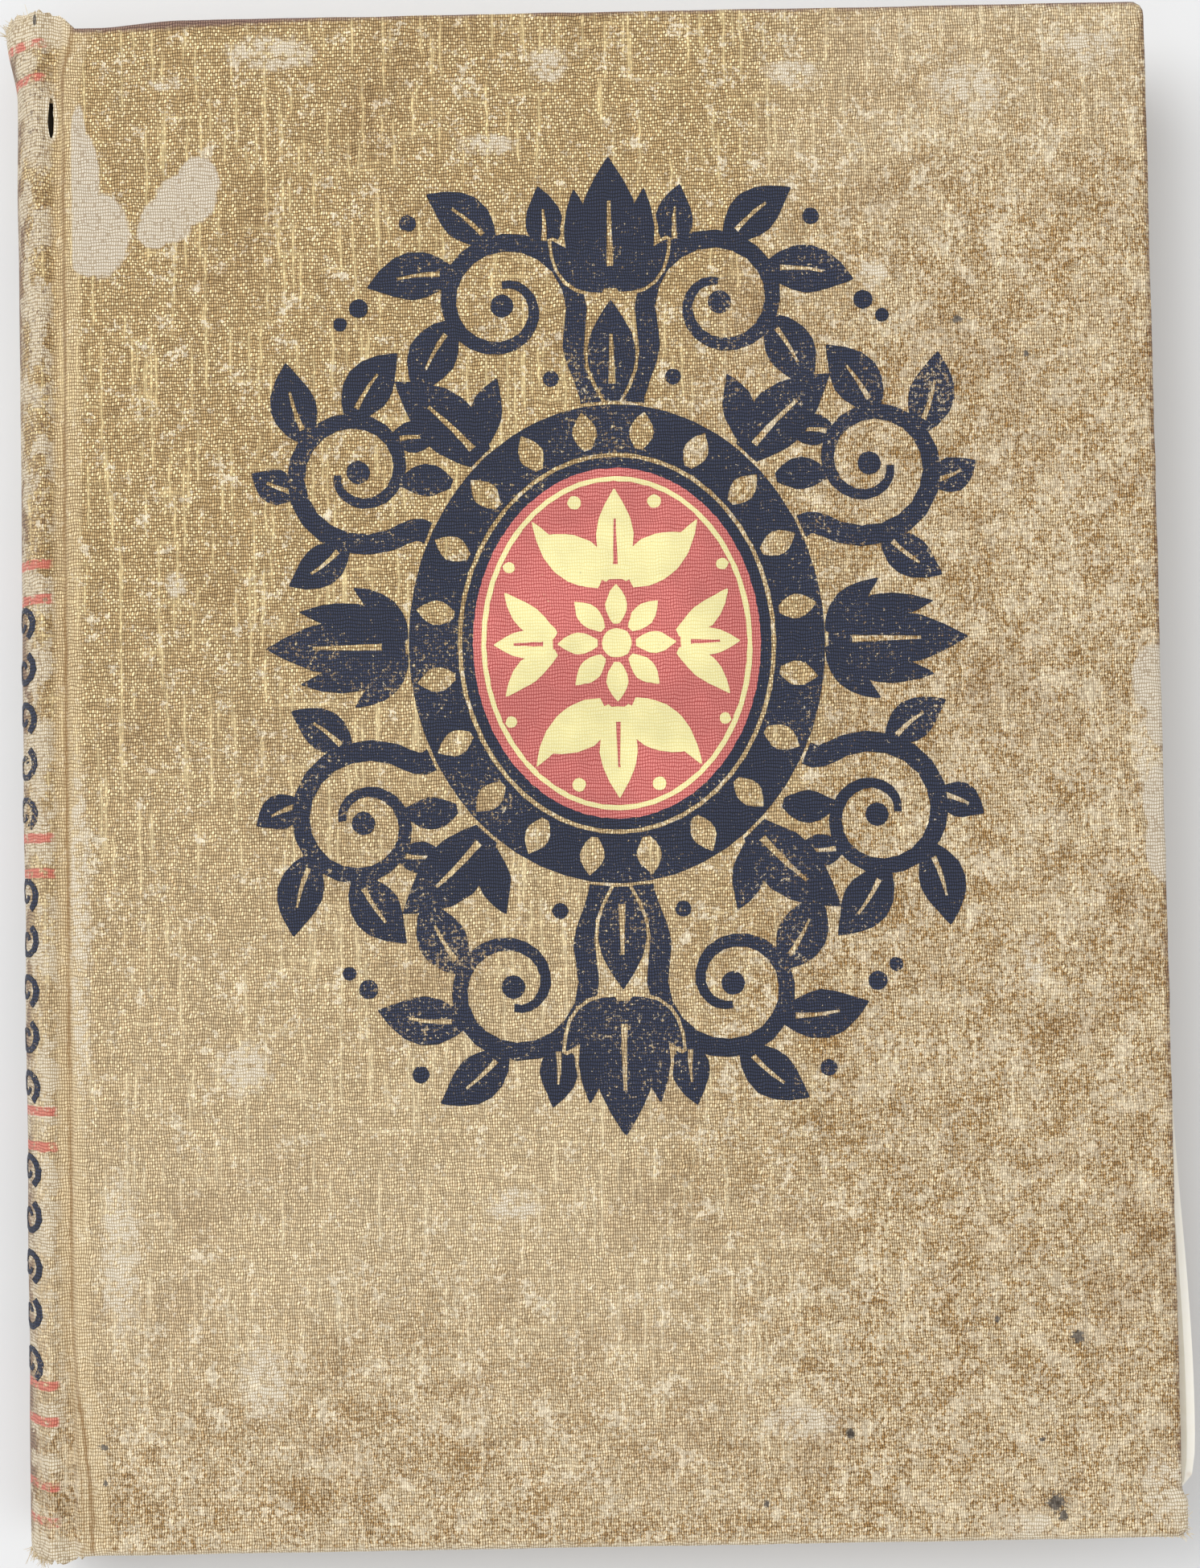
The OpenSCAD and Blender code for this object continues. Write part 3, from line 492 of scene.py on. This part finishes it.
    # the inside of the cloth, which is filled with starch and neither worn nor printed
    inside = lay(tree, "Attribute", attribute_name="inside").outputs["Fac"]
    starched = tint(tree, threads, dye(150, 124, 84), dye(206, 184, 144))
    colour = tint(tree, rise(tree, inside, 0.5, 0.9), colour, starched)
    wire(skin["Base Color"], colour)
    wire(skin["Roughness"], 0.82)
    wire(skin["Sheen Weight"], 0.12)
    wire(skin["Specular IOR Level"], 0.25)
    raise_relief(tree, skin, plus(tree, threads, times(tree, slubs, 1.6)), 0.00008)
    return made


slit_x, slit_y, slit_half_l, slit_half_w = -100.5 * mm, 125.9 * mm, 3.4 * mm, 0.55 * mm
rule_w, rule_gap = 1.7, 6.6
rule_pairs = (136.8, 37.7, -13.9, -65.0, -115.9, -134.4)
front_cloth = cloth_material("front cover cloth", True)
back_cloth = cloth_material("back cover cloth", False)

cover_low, cover_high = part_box("front_cover_cloth")
spine_low, spine_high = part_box("spine_cloth")
book_t, half_h, fore_x, board_x = cover_high.z, cover_high.y, cover_high.x, cover_low.x
mid_z = book_t / 2
round_angle = math.radians(52)
spine_r = (spine_high.z - mid_z) / math.sin(round_angle)
crown_x = spine_low.x
spine_cx = crown_x + spine_r
cap_rise = spine_high.y - half_h
cloth_t = 0.4 * mm
inlay_t = 0.8 * mm
arc_steps, fall_steps, climb_steps = 20, 9, 7
groove = Vector((board_x - 2.4 * mm, book_t - 2.0 * mm))
edge_r = 1.0 * mm
head_corner_r, tail_corner_r = 2.5 * mm, 2.4 * mm
turn_in = 15 * mm


def bezier(p0, p1, p2, p3, steps):
    """Points along a cubic curve, without its last."""
    for i in range(steps):
        t, s = i / steps, 1 - i / steps
        yield p0 * s ** 3 + p1 * 3 * s * s * t + p2 * 3 * s * t * t + p3 * t ** 3


def cloth_profile():
    """Points across the outside of the front half, from the crown of the spine to the fore-edge."""
    points = [Vector((spine_cx, mid_z)) + spine_r * Vector((-math.cos(a), math.sin(a)))
              for a in (round_angle * i / arc_steps for i in range(arc_steps))]
    start = Vector((spine_cx, mid_z)) + spine_r * Vector((-math.cos(round_angle), math.sin(round_angle)))
    reach = (groove.x - start.x) * 0.45
    leaving = Vector((math.sin(round_angle), math.cos(round_angle)))
    edge = Vector((board_x, book_t))
    points += bezier(start, start + reach * leaving, groove - Vector((reach, 0)), groove, fall_steps)
    points += bezier(groove, groove + Vector((1.2 * mm, 0)), edge - Vector((1.4 * mm, 0)), edge, climb_steps)
    end = fore_x - edge_r
    steps = 150
    for i in range(steps + 1):
        t = i / steps
        share = t + 0.25 / math.pi * math.sin(math.pi * t) * t
        points.append(Vector((board_x + (end - board_x) * share, book_t)))
    return points


def smooth(t):
    t = min(1, max(0, t))
    return t * t * (3 - 2 * t)


def wobble(x, y, z):
    """How far the cloth's outside stands off its nominal place, along the outward direction, in metres."""
    p = Vector((x, y, z)) * 1000
    on_spine = min(1, max(0, (-0.1030 - x) / 0.002))
    in_joint = max(0, 1 - abs(x + 0.1005) / 0.0035)
    flat = 0.045 * noise.noise(p / 22) - 0.02
    bulge = 0.22 * noise.noise(Vector((p.x / 9, p.y / 17, p.z / 9))) - 0.10
    groove_wave = 0.32 * noise.noise(Vector((3.1, p.y / 14, 0.4)))
    groove_wave += 0.12 * noise.noise(Vector((8.2, p.y / 4, p.x / 3)))
    tail = 0.5 * min(1, max(0, (-y - 0.095) / 0.045))
    return (flat + on_spine * bulge + in_joint * (groove_wave + tail)) * mm


def handled(p, side):
    """How far handling has pushed the case: its spine flares at the head, and the front board is bumped."""
    flare = -1.9 * mm * smooth((p.y - 0.131) / 0.013) * smooth((-0.1035 - p.x) / 0.005)
    if side < 0:
        return Vector((flare, 0, 0))
    sag = -1.2 * mm * smooth((p.y - 0.12) / 0.024) * smooth((-0.074 - p.x) / 0.018) * smooth((p.x + 0.1) / 0.004)
    bumped = 1.0 * mm * smooth((-p.y - 0.1345) / 0.0035) * smooth((p.x - 0.097) / 0.009)
    return Vector((flare + bumped, sag, 0))


def sweep(bm, chain, length, steps):
    """Sweeps a row of points along the book into an open sheet."""
    edges = [bm.edges.new(pair) for pair in zip(chain, chain[1:])]
    bmesh.ops.spin(bm, geom=chain + edges, cent=(0, 0, 0), axis=(0, 1, 0), dvec=(0, length / steps, 0), angle=0,
                   steps=steps, use_duplicate=False)


def turn_over(bm):
    """Turns a form made for the front cover into the one for the back cover."""
    for v in bm.verts:
        v.co.z = book_t - v.co.z
    bmesh.ops.reverse_faces(bm, faces=bm.faces)


def case_half(name, side, material):
    """Half of the covering cloth, side 1 for the front: its outside is swept along the book, the rim is
    folded round the board and the spine's caps and turned in, and the sheet is given its thickness."""
    profile = cloth_profile()
    rows = 214
    base_h = half_h - edge_r
    bm = bmesh.new()
    weave = bm.verts.layers.float_vector.new("weave")
    plain, foot, out, inward = (bm.verts.layers.float_vector.new(n) for n in ("plain", "foot", "out", "inward"))
    deep, reach, inside = (bm.verts.layers.float.new(n) for n in ("deep", "reach", "inside"))
    along = [0.0]
    for a, b in zip(profile, profile[1:]):
        along.append(along[-1] + (b - a).length)
    at_board = along[arc_steps + fall_steps + climb_steps]
    chain_start = (board_x - at_board) * 1000
    chain = []
    for i, p in enumerate(profile):
        v = bm.verts.new((p.x, -base_h, p.y))
        tangent = (profile[min(i + 1, len(profile) - 1)] - profile[max(i - 1, 0)]).normalized()
        v[inward] = (tangent.y, 0, -tangent.x)
        v[weave] = ((board_x + along[i] - at_board) * 1000, 0, 0)
        past_spine = min(1, max(0, (along[i] - along[arc_steps]) / (2 * mm)))
        past_joint = min(1, max(0, (along[i] - at_board + 0.4 * mm) / (0.8 * mm)))
        v[deep] = ((inlay_t + 2 * cloth_t) * (1 - past_spine) + 0.85 * mm * past_spine * (1 - past_joint)
                   + 3.4 * mm * past_joint)
        v[reach] = edge_r + (cap_rise + 0.6 * mm) * min(1, max(0, (board_x + 1.5 * mm - p.x) / (5 * mm)))
        chain.append(v)
    sweep(bm, chain, 2 * base_h, rows)
    for v in bm.verts:
        u = v.co.y / base_h
        v.co.y = base_h * (u + 0.35 / math.pi * math.sin(math.pi * u))
        v[weave].y = v.co.y * 1000
        v[out] = (0, math.copysign(1, u), 0)
        if abs(abs(u) - 1) > 1e-6:
            v[out] = (1, 0, 0)
        r = (head_corner_r if u > 0 else tail_corner_r) - edge_r
        dx, dy = (v.co.x - (fore_x - edge_r - r)) / r, (abs(v.co.y) - (base_h - r)) / r
        if dx > 0 and dy > 0:
            nx, ny = dx * math.sqrt(1 - dy * dy / 2), dy * math.sqrt(1 - dx * dx / 2)
            v.co.x, v.co.y = fore_x - edge_r - r + nx * r, math.copysign(base_h - r + ny * r, u)
            v[out] = Vector((nx, math.copysign(ny, u), 0)).normalized()
    # the slit that has worn through the front joint near its head, closing to a point at each end
    if side > 0:
        worn_out = [f for f in bm.faces if abs(f.calc_center_median().x - slit_x) < slit_half_w
                    and abs(f.calc_center_median().y - slit_y) < slit_half_l]
        lips = {v for f in worn_out for v in f.verts}
        bmesh.ops.delete(bm, geom=worn_out, context="FACES")
        for v in lips:
            if v.is_valid:
                t = min(1, abs(v.co.y - slit_y) / slit_half_l)
                torn = 0.22 * mm * noise.noise(v.co * 1400)
                v.co.x = slit_x + (v.co.x - slit_x) * (0.3 + 0.6 * math.sqrt(1 - t * t)) + torn
    for v in bm.verts:
        v[plain] = v.co - v[inward] * wobble(*v.co)
        v.co = v[foot] = v[plain] + handled(v.co, side)
    at_crown = chain_start + 0.3
    rim = [e for e in bm.edges if e.is_boundary and any(v[weave].x > at_crown for v in e.verts)
           and not (abs(e.verts[0].co.y - slit_y) < 6 * mm and abs(e.verts[0].co.x - slit_x) < 3 * mm)]
    # each ring is how far it stands out, the part of the fold and how much of the turn it has made
    rings = [(math.sin(a), part, (1 - math.cos(a)) / 2)
             for part, turned in (("top", (30, 60, 90)), ("under", (90, 120, 150, 180)))
             for a in map(math.radians, turned)]
    rings += [(-t, "in", 1.0) for t in (2 * mm, 7 * mm, turn_in - edge_r)]
    for share, part, turn in rings:
        made = bmesh.ops.extrude_edge_only(bm, edges=rim)["geom"]
        fresh = {g for g in made if isinstance(g, bmesh.types.BMVert)}
        rim = [g for g in made if isinstance(g, bmesh.types.BMEdge) and set(g.verts) <= fresh]
        for v in fresh:
            depth, n, m = v[deep], v[out], v[inward]
            r = min(edge_r, depth / 2)
            down = 2 * r * turn + (depth - 2 * r if part != "top" else 0)
            before = v.co.copy()
            if part == "in":
                t = edge_r - share
                v.co = v[plain] + m * depth
                v.co.y = max(-half_h + t, min(half_h - t, v.co.y))
                if n.x > 0.3 or v.co.x > fore_x - t:
                    v.co.x = fore_x - t
                v.co += handled(v.co, side)
            else:
                fray = 1.0
                if v[reach] > edge_r * 1.1:
                    fray = 1 + 0.25 * n.y + 0.5 * noise.noise(v[foot] * 420) + 0.4 * noise.noise(v[foot] * 1300)
                v.co = v[foot] + n * (v[reach] * share * fray) + m * down
                v.co += n * share * 0.14 * mm * noise.noise(v[foot] * 150)
            v[weave] = v[weave] + Vector((n.x, n.y, 0)) * (v.co - before).length * 1000
    bmesh.ops.remove_doubles(bm, verts=bm.verts, dist=0.02 * mm)
    bmesh.ops.dissolve_degenerate(bm, edges=bm.edges, dist=0.02 * mm)
    bmesh.ops.recalc_face_normals(bm, faces=bm.faces)
    if max(bm.faces, key=lambda f: f.calc_center_median().z).normal.z < 0:
        bmesh.ops.reverse_faces(bm, faces=bm.faces)
    for v in bm.verts:
        v[foot] = v.co
    bmesh.ops.solidify(bm, geom=bm.faces[:], thickness=cloth_t * 0.9)
    for v in bm.verts:
        moved = v.co - v[foot]
        v[inside] = float(moved.length > 0.3 * cloth_t)
        if moved.length > 1.4 * cloth_t:
            v.co = v[foot] + moved * (cloth_t / moved.length)
        if v.co.x > board_x:
            v.co.z = max(v.co.z, cover_low.z)
    if side < 0:
        turn_over(bm)
    rest = bm.verts.layers.float_vector.new("rest")
    for v in bm.verts:
        v[rest] = v.co * 1000
    for label in ("plain", "foot", "out", "inward"):
        bm.verts.layers.float_vector.remove(bm.verts.layers.float_vector[label])
    for label in ("deep", "reach"):
        bm.verts.layers.float.remove(bm.verts.layers.float[label])
    return finish_piece(name, bm, material, 35)


# At exactly a half turn a blend turns about +Y from its first body to its second, and the front cover
# turns about -Y, so the blend of the front half runs from the cover to the leaves.
front_hinge_z = 22.3 * mm
bend_start, bend_end = (-104.6 * mm, 0, front_hinge_z), (-100.6 * mm, 0, front_hinge_z)
front_case = case_half("front_case_cloth", 1, front_cloth)
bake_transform(front_case, "front_cover", "leaves_and_spine", bend_end, bend_start)
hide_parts("front_cover_cloth", "front_joint_cloth", "spine_cloth", "spine_red_rules")
back_case = case_half("back_case_cloth", -1, back_cloth)
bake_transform(back_case, "leaves_and_spine", "back_cover", bend_start, bend_end)
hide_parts("back_cover_cloth", "back_joint_cloth")


# The front board is grey millboard. Its head corner beside the spine and its tail corner at the
# fore-edge have been bumped, so it is the plain board pushed out of shape with the cloth over it.
def bumped_board():
    bm = from_cad("front_board")
    for x in (-95, -93, -91, -88, -85, -82, -79, -76, -73, 98, 100, 102, 104):
        cut(bm, (x * mm, 0, 0), (1, 0, 0))
    for y in (-142, -139, -136, -133, -130, 121, 124, 128, 132, 136, 140):
        cut(bm, (0, y * mm, 0), (0, 1, 0))
    for v in bm.verts:
        v.co += handled(v.co, 1)
    bmesh.ops.recalc_face_normals(bm, faces=bm.faces)
    return finish_piece("front_board_bumped", bm, grey_board)


front_board = bumped_board()
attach(front_board, "front_cover")
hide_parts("front_board")


# The ornament on the front is stamped on the cloth in thin layers of colour: dark blue, red, and
# a pale gold over the red. The weave shows through the dark and the red, which are rubbed in places.
def ink_material(name, ink, light, cover, gloss, wear_level, specks):
    made, tree, skin, place = start_material(name)
    cloth = lay(tree, "Group", {"Weave": place, "Place": place, "Wear": 0.0}, node_tree=linen)
    threads, slubs = cloth.outputs["Threads"], cloth.outputs["Slubs"]
    # painted highlight: the ink is mixed towards its lighter colour on the tops of the threads
    fresh = tint(tree, times(tree, threads, cover), ink, light)
    shade = rise(tree, cloud(tree, place, 0.05, 3, 0.6), 0.35, 0.65, 0.88, 1.08)
    fresh = shaded(tree, fresh, shade)
    rubbing = plus(tree, times(tree, cloud(tree, place, 1.6, 3, 0.7), 0.7),
                   times(tree, cloud(tree, place, 0.05, 2), 0.3))
    bare = rise(tree, rubbing, wear_level, wear_level + 0.05)
    colour = tint(tree, times(tree, bare, specks), fresh, cloth.outputs["Color"])
    wire(skin["Base Color"], colour)
    wire(skin["Roughness"], gloss)
    wire(skin["Specular IOR Level"], 0.35)
    raise_relief(tree, skin, plus(tree, threads, times(tree, slubs, 1.0)), 0.00006)
    return made


def stamped(node, material, edge_step, jitter):
    """A CAD layer of ink with its outline broken up along the threads."""
    bm = from_cad(node, merged=False)
    for _ in range(4):
        outline = [e for e in bm.edges if e.calc_length() > edge_step and len(e.link_faces) == 2
                   and abs(e.link_faces[0].normal.z - e.link_faces[1].normal.z) > 0.5]
        if not outline:
            break
        bmesh.ops.subdivide_edges(bm, edges=outline, cuts=1)
    bmesh.ops.triangulate(bm, faces=[f for f in bm.faces if len(f.verts) > 3])
    for v in bm.verts:
        p = Vector((v.co.x, v.co.y, 0)) * 1000
        v.co.x += jitter * noise.noise(p * 1.1)
        v.co.y += jitter * noise.noise(p * 1.1 + Vector((31, 7, 5)))
    return finish_piece(node.replace("cover_", "stamped_"), bm, material)


# the second colour of each ink is its painted highlight on the thread tops
dark_ink = ink_material("dark blue ink", dye(12, 14, 24), dye(54, 62, 88), 0.8, 0.6, 0.575, 0.75)
red_ink = ink_material("red ink", dye(172, 74, 70), dye(228, 138, 132), 0.95, 0.7, 0.66, 0.5)
gold_ink = ink_material("pale gold ink", dye(236, 222, 150), dye(252, 245, 190), 0.8, 0.42, 0.64, 0.55)
for node, material, slot in (("cover_dark_ornament", dark_ink, "dark_ink"),
                             ("cover_red_medallion", red_ink, "red_ink"),
                             ("cover_gold_rosette", gold_ink, "gold_ink")):
    layer = stamped(node, material, 0.9 * mm, 0.16 * mm)
    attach(layer, "front_cover")
    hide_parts(node)

scrolls = stamped("spine_dark_scrolls", dark_ink, 0.9 * mm, 0.12 * mm)
scrolls.name = "stamped_spine_scrolls"
for v in scrolls.data.vertices:
    turned = 1.36 * math.atan2(v.co.z - mid_z, spine_cx - v.co.x)
    away = Vector((-math.cos(turned), 0, math.sin(turned)))
    r = math.hypot(v.co.z - mid_z, spine_cx - v.co.x)
    v.co = Vector((spine_cx, v.co.y, mid_z)) + away * r
    v.co += away * (wobble(*v.co) + 0.03 * mm)
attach(scrolls, "leaves_and_spine")
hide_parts("spine_dark_scrolls")


# The threads that have frayed from the caps of the spine and from the bumped corner at the tail.
# Each is a short bent strand of the cloth's own linen.
def strand_material():
    made, tree, skin, place = start_material("frayed linen")
    wire(skin["Base Color"], tint(tree, cloud(tree, place, 1.2, 3), dye(196, 172, 130), dye(240, 230, 206)))
    wire(skin["Roughness"], 0.85)
    raise_relief(tree, skin, cloud(tree, place, 6.0, 2), 0.00004)
    return made


def frayed(name, roots, seed):
    """Strands that grow from the roots, each a point and the direction in which it leaves."""
    chance = random.Random(seed)
    bm = bmesh.new()
    for root, leaving, reach in roots:
        length = chance.uniform(0.5, 1.6) * mm * reach
        before = len(bm.verts)
        made = bmesh.ops.create_cone(bm, segments=3, radius1=0.09 * mm, radius2=0.04 * mm, depth=length,
                                     cap_ends=True)["verts"]
        sides = {e for v in made for e in v.link_edges if abs(e.verts[0].co.z - e.verts[1].co.z) > length / 2}
        bmesh.ops.subdivide_edges(bm, edges=list(sides), cuts=3)
        bm.verts.ensure_lookup_table()
        curl = Vector((chance.uniform(-1, 1), chance.uniform(-1, 1), chance.uniform(-1, 1))) * 0.5
        turn = Vector((0, 0, 1)).rotation_difference(leaving.normalized()).to_matrix()
        for v in bm.verts[before:]:
            t = v.co.z / length + 0.5
            bent = Vector((v.co.x, v.co.y, v.co.z + length / 2)) + curl * length * t * t
            v.co = root + turn @ bent
    return finish_piece(name, bm, frayed_linen)


frayed_linen = strand_material()
chance = random.Random(11)


def cap_roots(count, end):
    for _ in range(count):
        a = round_angle * chance.uniform(-0.98, 0.98)
        r = spine_r - chance.uniform(0.1, 1.2) * mm
        y = end * (half_h + cap_rise * chance.uniform(0.2, 0.9))
        root = Vector((spine_cx - r * math.cos(a), y, mid_z + r * math.sin(a)))
        root += handled(root, -1)
        yield root, Vector((-math.cos(a) * chance.uniform(-0.5, 0.8), end * chance.uniform(0.2, 1.0),
                            math.sin(a) * chance.uniform(-0.5, 0.8) + 0.3)), 1 + 0.7 * chance.random() ** 6


def corner_roots(count):
    for _ in range(count):
        t = chance.random() ** 1.5
        sunk = chance.uniform(0.5, 3.4) * mm
        root = Vector((fore_x + 0.7 * mm, -half_h + 0.4 * mm + 7 * mm * t, book_t - sunk))
        if chance.random() < 0.5:
            root = Vector((fore_x - 5 * mm * t, -half_h + 0.2 * mm, root.z))
        yield root, Vector((chance.uniform(0.2, 1), chance.uniform(-1, 0.4), chance.uniform(-0.5, 0.5))), 0.75


for name, roots, body in (("frayed_head_cap", cap_roots(230, 1), "leaves_and_spine"),
                          ("frayed_tail_cap", cap_roots(230, -1), "leaves_and_spine"),
                          ("frayed_corner", corner_roots(90), "front_cover")):
    cap = frayed(name, roots, len(name))
    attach(cap, body)


# Two leaves have come loose near the front. They lie skewed between the block and the endpaper,
# and their fore-edges bow out past the covers towards the tail.
def thicken(bm, thickness):
    """Gives an open sheet its thickness."""
    bmesh.ops.recalc_face_normals(bm, faces=bm.faces)
    bmesh.ops.solidify(bm, geom=bm.faces[:], thickness=thickness)


def loose_leaf(name, node, degrees, bow, droop, material):
    low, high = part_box(node)
    width, height, corner_r = 201.8 * mm, 278 * mm, 3 * mm
    bm = bmesh.new()
    bmesh.ops.create_grid(bm, x_segments=24, y_segments=72, size=1)
    turn = Matrix.Rotation(math.radians(degrees), 3, "Z")
    for v in bm.verts:
        u, down = (v.co.x + 1) / 2, (1 - v.co.y) / 2 * height
        from_end = min(down, height - down)
        rounded = corner_r - math.sqrt(max(0, corner_r ** 2 - max(0, corner_r - from_end) ** 2))
        y = block_high.y - down
        bowed = bow * math.exp(-((y + 0.112) / 0.036) ** 2) - 1.0 * mm * smooth((-y - 0.128) / 0.010)
        x = (width - rounded) * u ** 0.7 + bowed * u ** 3
        p = turn @ Vector((x, -down, 0))
        p += Vector((low.x, block_high.y - 4.2 * mm, (low.z + high.z) / 2))
        out = max(0, p.x - block_high.x + 0.5 * mm)
        p.z -= (out / (6 * mm)) ** 1.5 * droop * (0.7 + 0.6 * noise.noise(Vector((0, p.y * 30, degrees))))
        v.co = p
    thicken(bm, high.z - low.z - 0.02 * mm)
    for v in bm.verts:
        v.co.z += (high.z - low.z) / 2 * 0.96
    return finish_piece(name, bm, material, 35)


for name, node, degrees, bow, droop, material in (
        ("loose_leaf_outer", "loose_leaf_lower", 1.2, 1.9 * mm, 0.8 * mm, paper_material(
            "paper of the outer loose leaf", dye(255, 254, 248), dye(253, 249, 238), False)),
        # the inner leaf's paper is painted greyer than the outer one: painted shade where the edge of the cover
        # falls over it
        ("loose_leaf_inner", "loose_leaf_upper", 0.9, 1.5 * mm, 0.4 * mm, paper_material(
            "paper of the inner loose leaf in painted shade", dye(238, 234, 222), dye(230, 223, 205), False))):
    leaf = loose_leaf(name, node, degrees, bow, droop, material)
    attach(leaf, "leaves_and_spine")
    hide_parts(node)


# The endpapers were pasted down last. Each runs from the inside of its cover over the edge of the
# board and the joint, and its other half lies free over the leaves.
sheet_paper = paper_material("paper of the endpapers", dye(240, 231, 208), dye(214, 190, 148), False)
paper_t = 0.12 * mm
for node in ("front_free_endpaper", "back_free_endpaper"):
    dress(node, sheet_paper)


def pasted_sheet(name, side):
    """The half of an endpaper glued inside a cover, with the ridge of the turned-in cloth showing through."""
    low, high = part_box("front_pastedown")
    ridge_x, ridge_y, gauze_x = fore_x - turn_in, half_h - turn_in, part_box("front_gauze_flange")[1].x
    bm = bmesh.new()
    bmesh.ops.create_grid(bm, x_segments=30, y_segments=40, size=1)
    for v in bm.verts:
        v.co = (low.x + (high.x - low.x) * (v.co.x + 1) / 2, high.y * v.co.y, 0)
    for off in (-0.8, -0.3, 0.2, 0.7, 1.2):
        cut(bm, (ridge_x + off * mm, 0, 0), (1, 0, 0))
        cut(bm, (gauze_x + off * mm, 0, 0), (1, 0, 0))
        cut(bm, (0, ridge_y + off * mm, 0), (0, 1, 0))
        cut(bm, (0, -ridge_y - off * mm, 0), (0, 1, 0))
    for v in bm.verts:
        within = min(ridge_x - v.co.x, ridge_y - abs(v.co.y)) + 1.2 * mm
        sunk = 0.36 - 0.22 * smooth((gauze_x + 1.2 * mm - v.co.x) / (1.4 * mm))
        v.co.z = low.z + sunk * mm * smooth(within / (2 * mm)) + 0.02 * mm * noise.noise(v.co * 90)
    thicken(bm, -paper_t)
    if side < 0:
        turn_over(bm)
    return finish_piece(name, bm, sheet_paper, 35)


for node, side, cover in (("front_pastedown", 1, "front_cover"), ("back_pastedown", -1, "back_cover")):
    sheet = pasted_sheet(node.replace("pastedown", "pasted_endpaper"), side)
    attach(sheet, cover)
    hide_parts(node)


def shoulder_strip(name, side):
    """The strip of an endpaper that lies over the shoulder of the leaves, up to the fold in the joint."""
    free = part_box("front_free_endpaper")[1].z + 0.02 * mm
    fold = Vector((-102.35 * mm, 22.05 * mm))
    climb = bezier(Vector((-98.4 * mm, free)), Vector((-100.2 * mm, free + 0.1 * mm)),
                   Vector((-100.9 * mm, 21.9 * mm)), fold, 9)
    return folded_paper(name, [Vector((-97.4 * mm, free)), *climb, fold], side)


def joint_strip(name, side):
    """The strip of an endpaper that lies over the board's edge and the inside of the joint."""
    profile = cloth_profile()[arc_steps:arc_steps + fall_steps + climb_steps - 1]
    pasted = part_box("front_pastedown")[0].z
    path = [Vector((board_x + 3 * mm, pasted - 0.02 * mm)), Vector((board_x + 0.6 * mm, pasted - 0.03 * mm)),
            Vector((board_x - 0.1 * mm, pasted + 0.15 * mm))]
    for i in range(len(profile) - 2, 1, -1):
        tangent = (profile[i + 1] - profile[i - 1]).normalized()
        path.append(profile[i] + Vector((tangent.y, -tangent.x)) * (cloth_t + 0.45 * mm))
    return folded_paper(name, path, side)


def folded_paper(name, path, side):
    """A strip of paper that follows the path and runs the length of the leaves, torn where the slit is."""
    half_l, rows = block_high.y - 0.4 * mm, 40
    bm = bmesh.new()
    chain = [bm.verts.new((p.x, -half_l, p.y)) for p in path]
    sweep(bm, chain, 2 * half_l, rows)
    if side > 0:
        for y in (slit_y - slit_half_l - 0.4 * mm, slit_y + slit_half_l + 0.4 * mm):
            cut(bm, (0, y, 0), (0, 1, 0))
        torn = [f for f in bm.faces if abs(f.calc_center_median().x - slit_x) < 0.7 * mm
                and abs(f.calc_center_median().y - slit_y) < slit_half_l + 0.4 * mm]
        bmesh.ops.delete(bm, geom=torn, context="FACES")
    for v in bm.verts:
        v.co.x += 0.15 * mm * noise.noise(v.co * 60)
    thicken(bm, paper_t)
    if side < 0:
        turn_over(bm)
    return finish_piece(name, bm, sheet_paper, 60)


for name, side, cover in (("front_endpaper_joint", 1, "front_cover"), ("back_endpaper_joint", -1, "back_cover")):
    strip = joint_strip(name, side)
    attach(strip, cover)
    strip = shoulder_strip(name.replace("joint", "fold"), side)
    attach(strip, "leaves_and_spine")


# The book lies on a plain pale floor in soft light from the upper left.
# The camera is almost straight above the cover.
def floor_material():
    made, tree, skin, place = start_material("pale floor")
    wire(skin["Base Color"], tint(tree, cloud(tree, place, 0.004, 2), dye(226, 227, 228), dye(234, 235, 236)))
    wire(skin["Roughness"], 0.9)
    return made


bm = bmesh.new()
bmesh.ops.create_grid(bm, x_segments=2, y_segments=2, size=3.0)
floor = finish_piece("floor", bm, floor_material())

world = bpy.data.worlds.new("soft room")
bpy.context.scene.world = world
world.use_nodes = True
world.node_tree.nodes["Background"].inputs[0].default_value = (1, 1, 1, 1)
world.node_tree.nodes["Background"].inputs[1].default_value = 0.62
for name, spot, size, power in (("window", (-0.9, 0.7, 1.5), 1.2, 20), ("fill", (1.1, -0.6, 1.6), 1.6, 7)):
    lamp = bpy.data.lights.new(name, "AREA")
    lamp.size, lamp.energy = size, power
    holder = bpy.data.objects.new(name, lamp)
    holder.location = spot
    holder.rotation_euler = (Vector((0, 0, 0)) - Vector(spot)).to_track_quat("-Z", "Y").to_euler()
    bpy.context.scene.collection.objects.link(holder)

camera = bpy.data.cameras.new("camera")
camera.sensor_fit = "HORIZONTAL"
camera.sensor_width = 36
focal_length_px, frame_width_px = 2993.0, 1492
camera.lens = focal_length_px * camera.sensor_width / frame_width_px
camera.clip_start = 0.01
eye = bpy.data.objects.new("camera", camera)
eye.location = (0.00237, -0.01784, 0.474)
eye.rotation_euler = [math.radians(a) for a in (1.960, 0.169, -1.055)]
bpy.context.scene.collection.objects.link(eye)
bpy.context.scene.camera = eye
bpy.context.scene.view_settings.view_transform = "Standard"
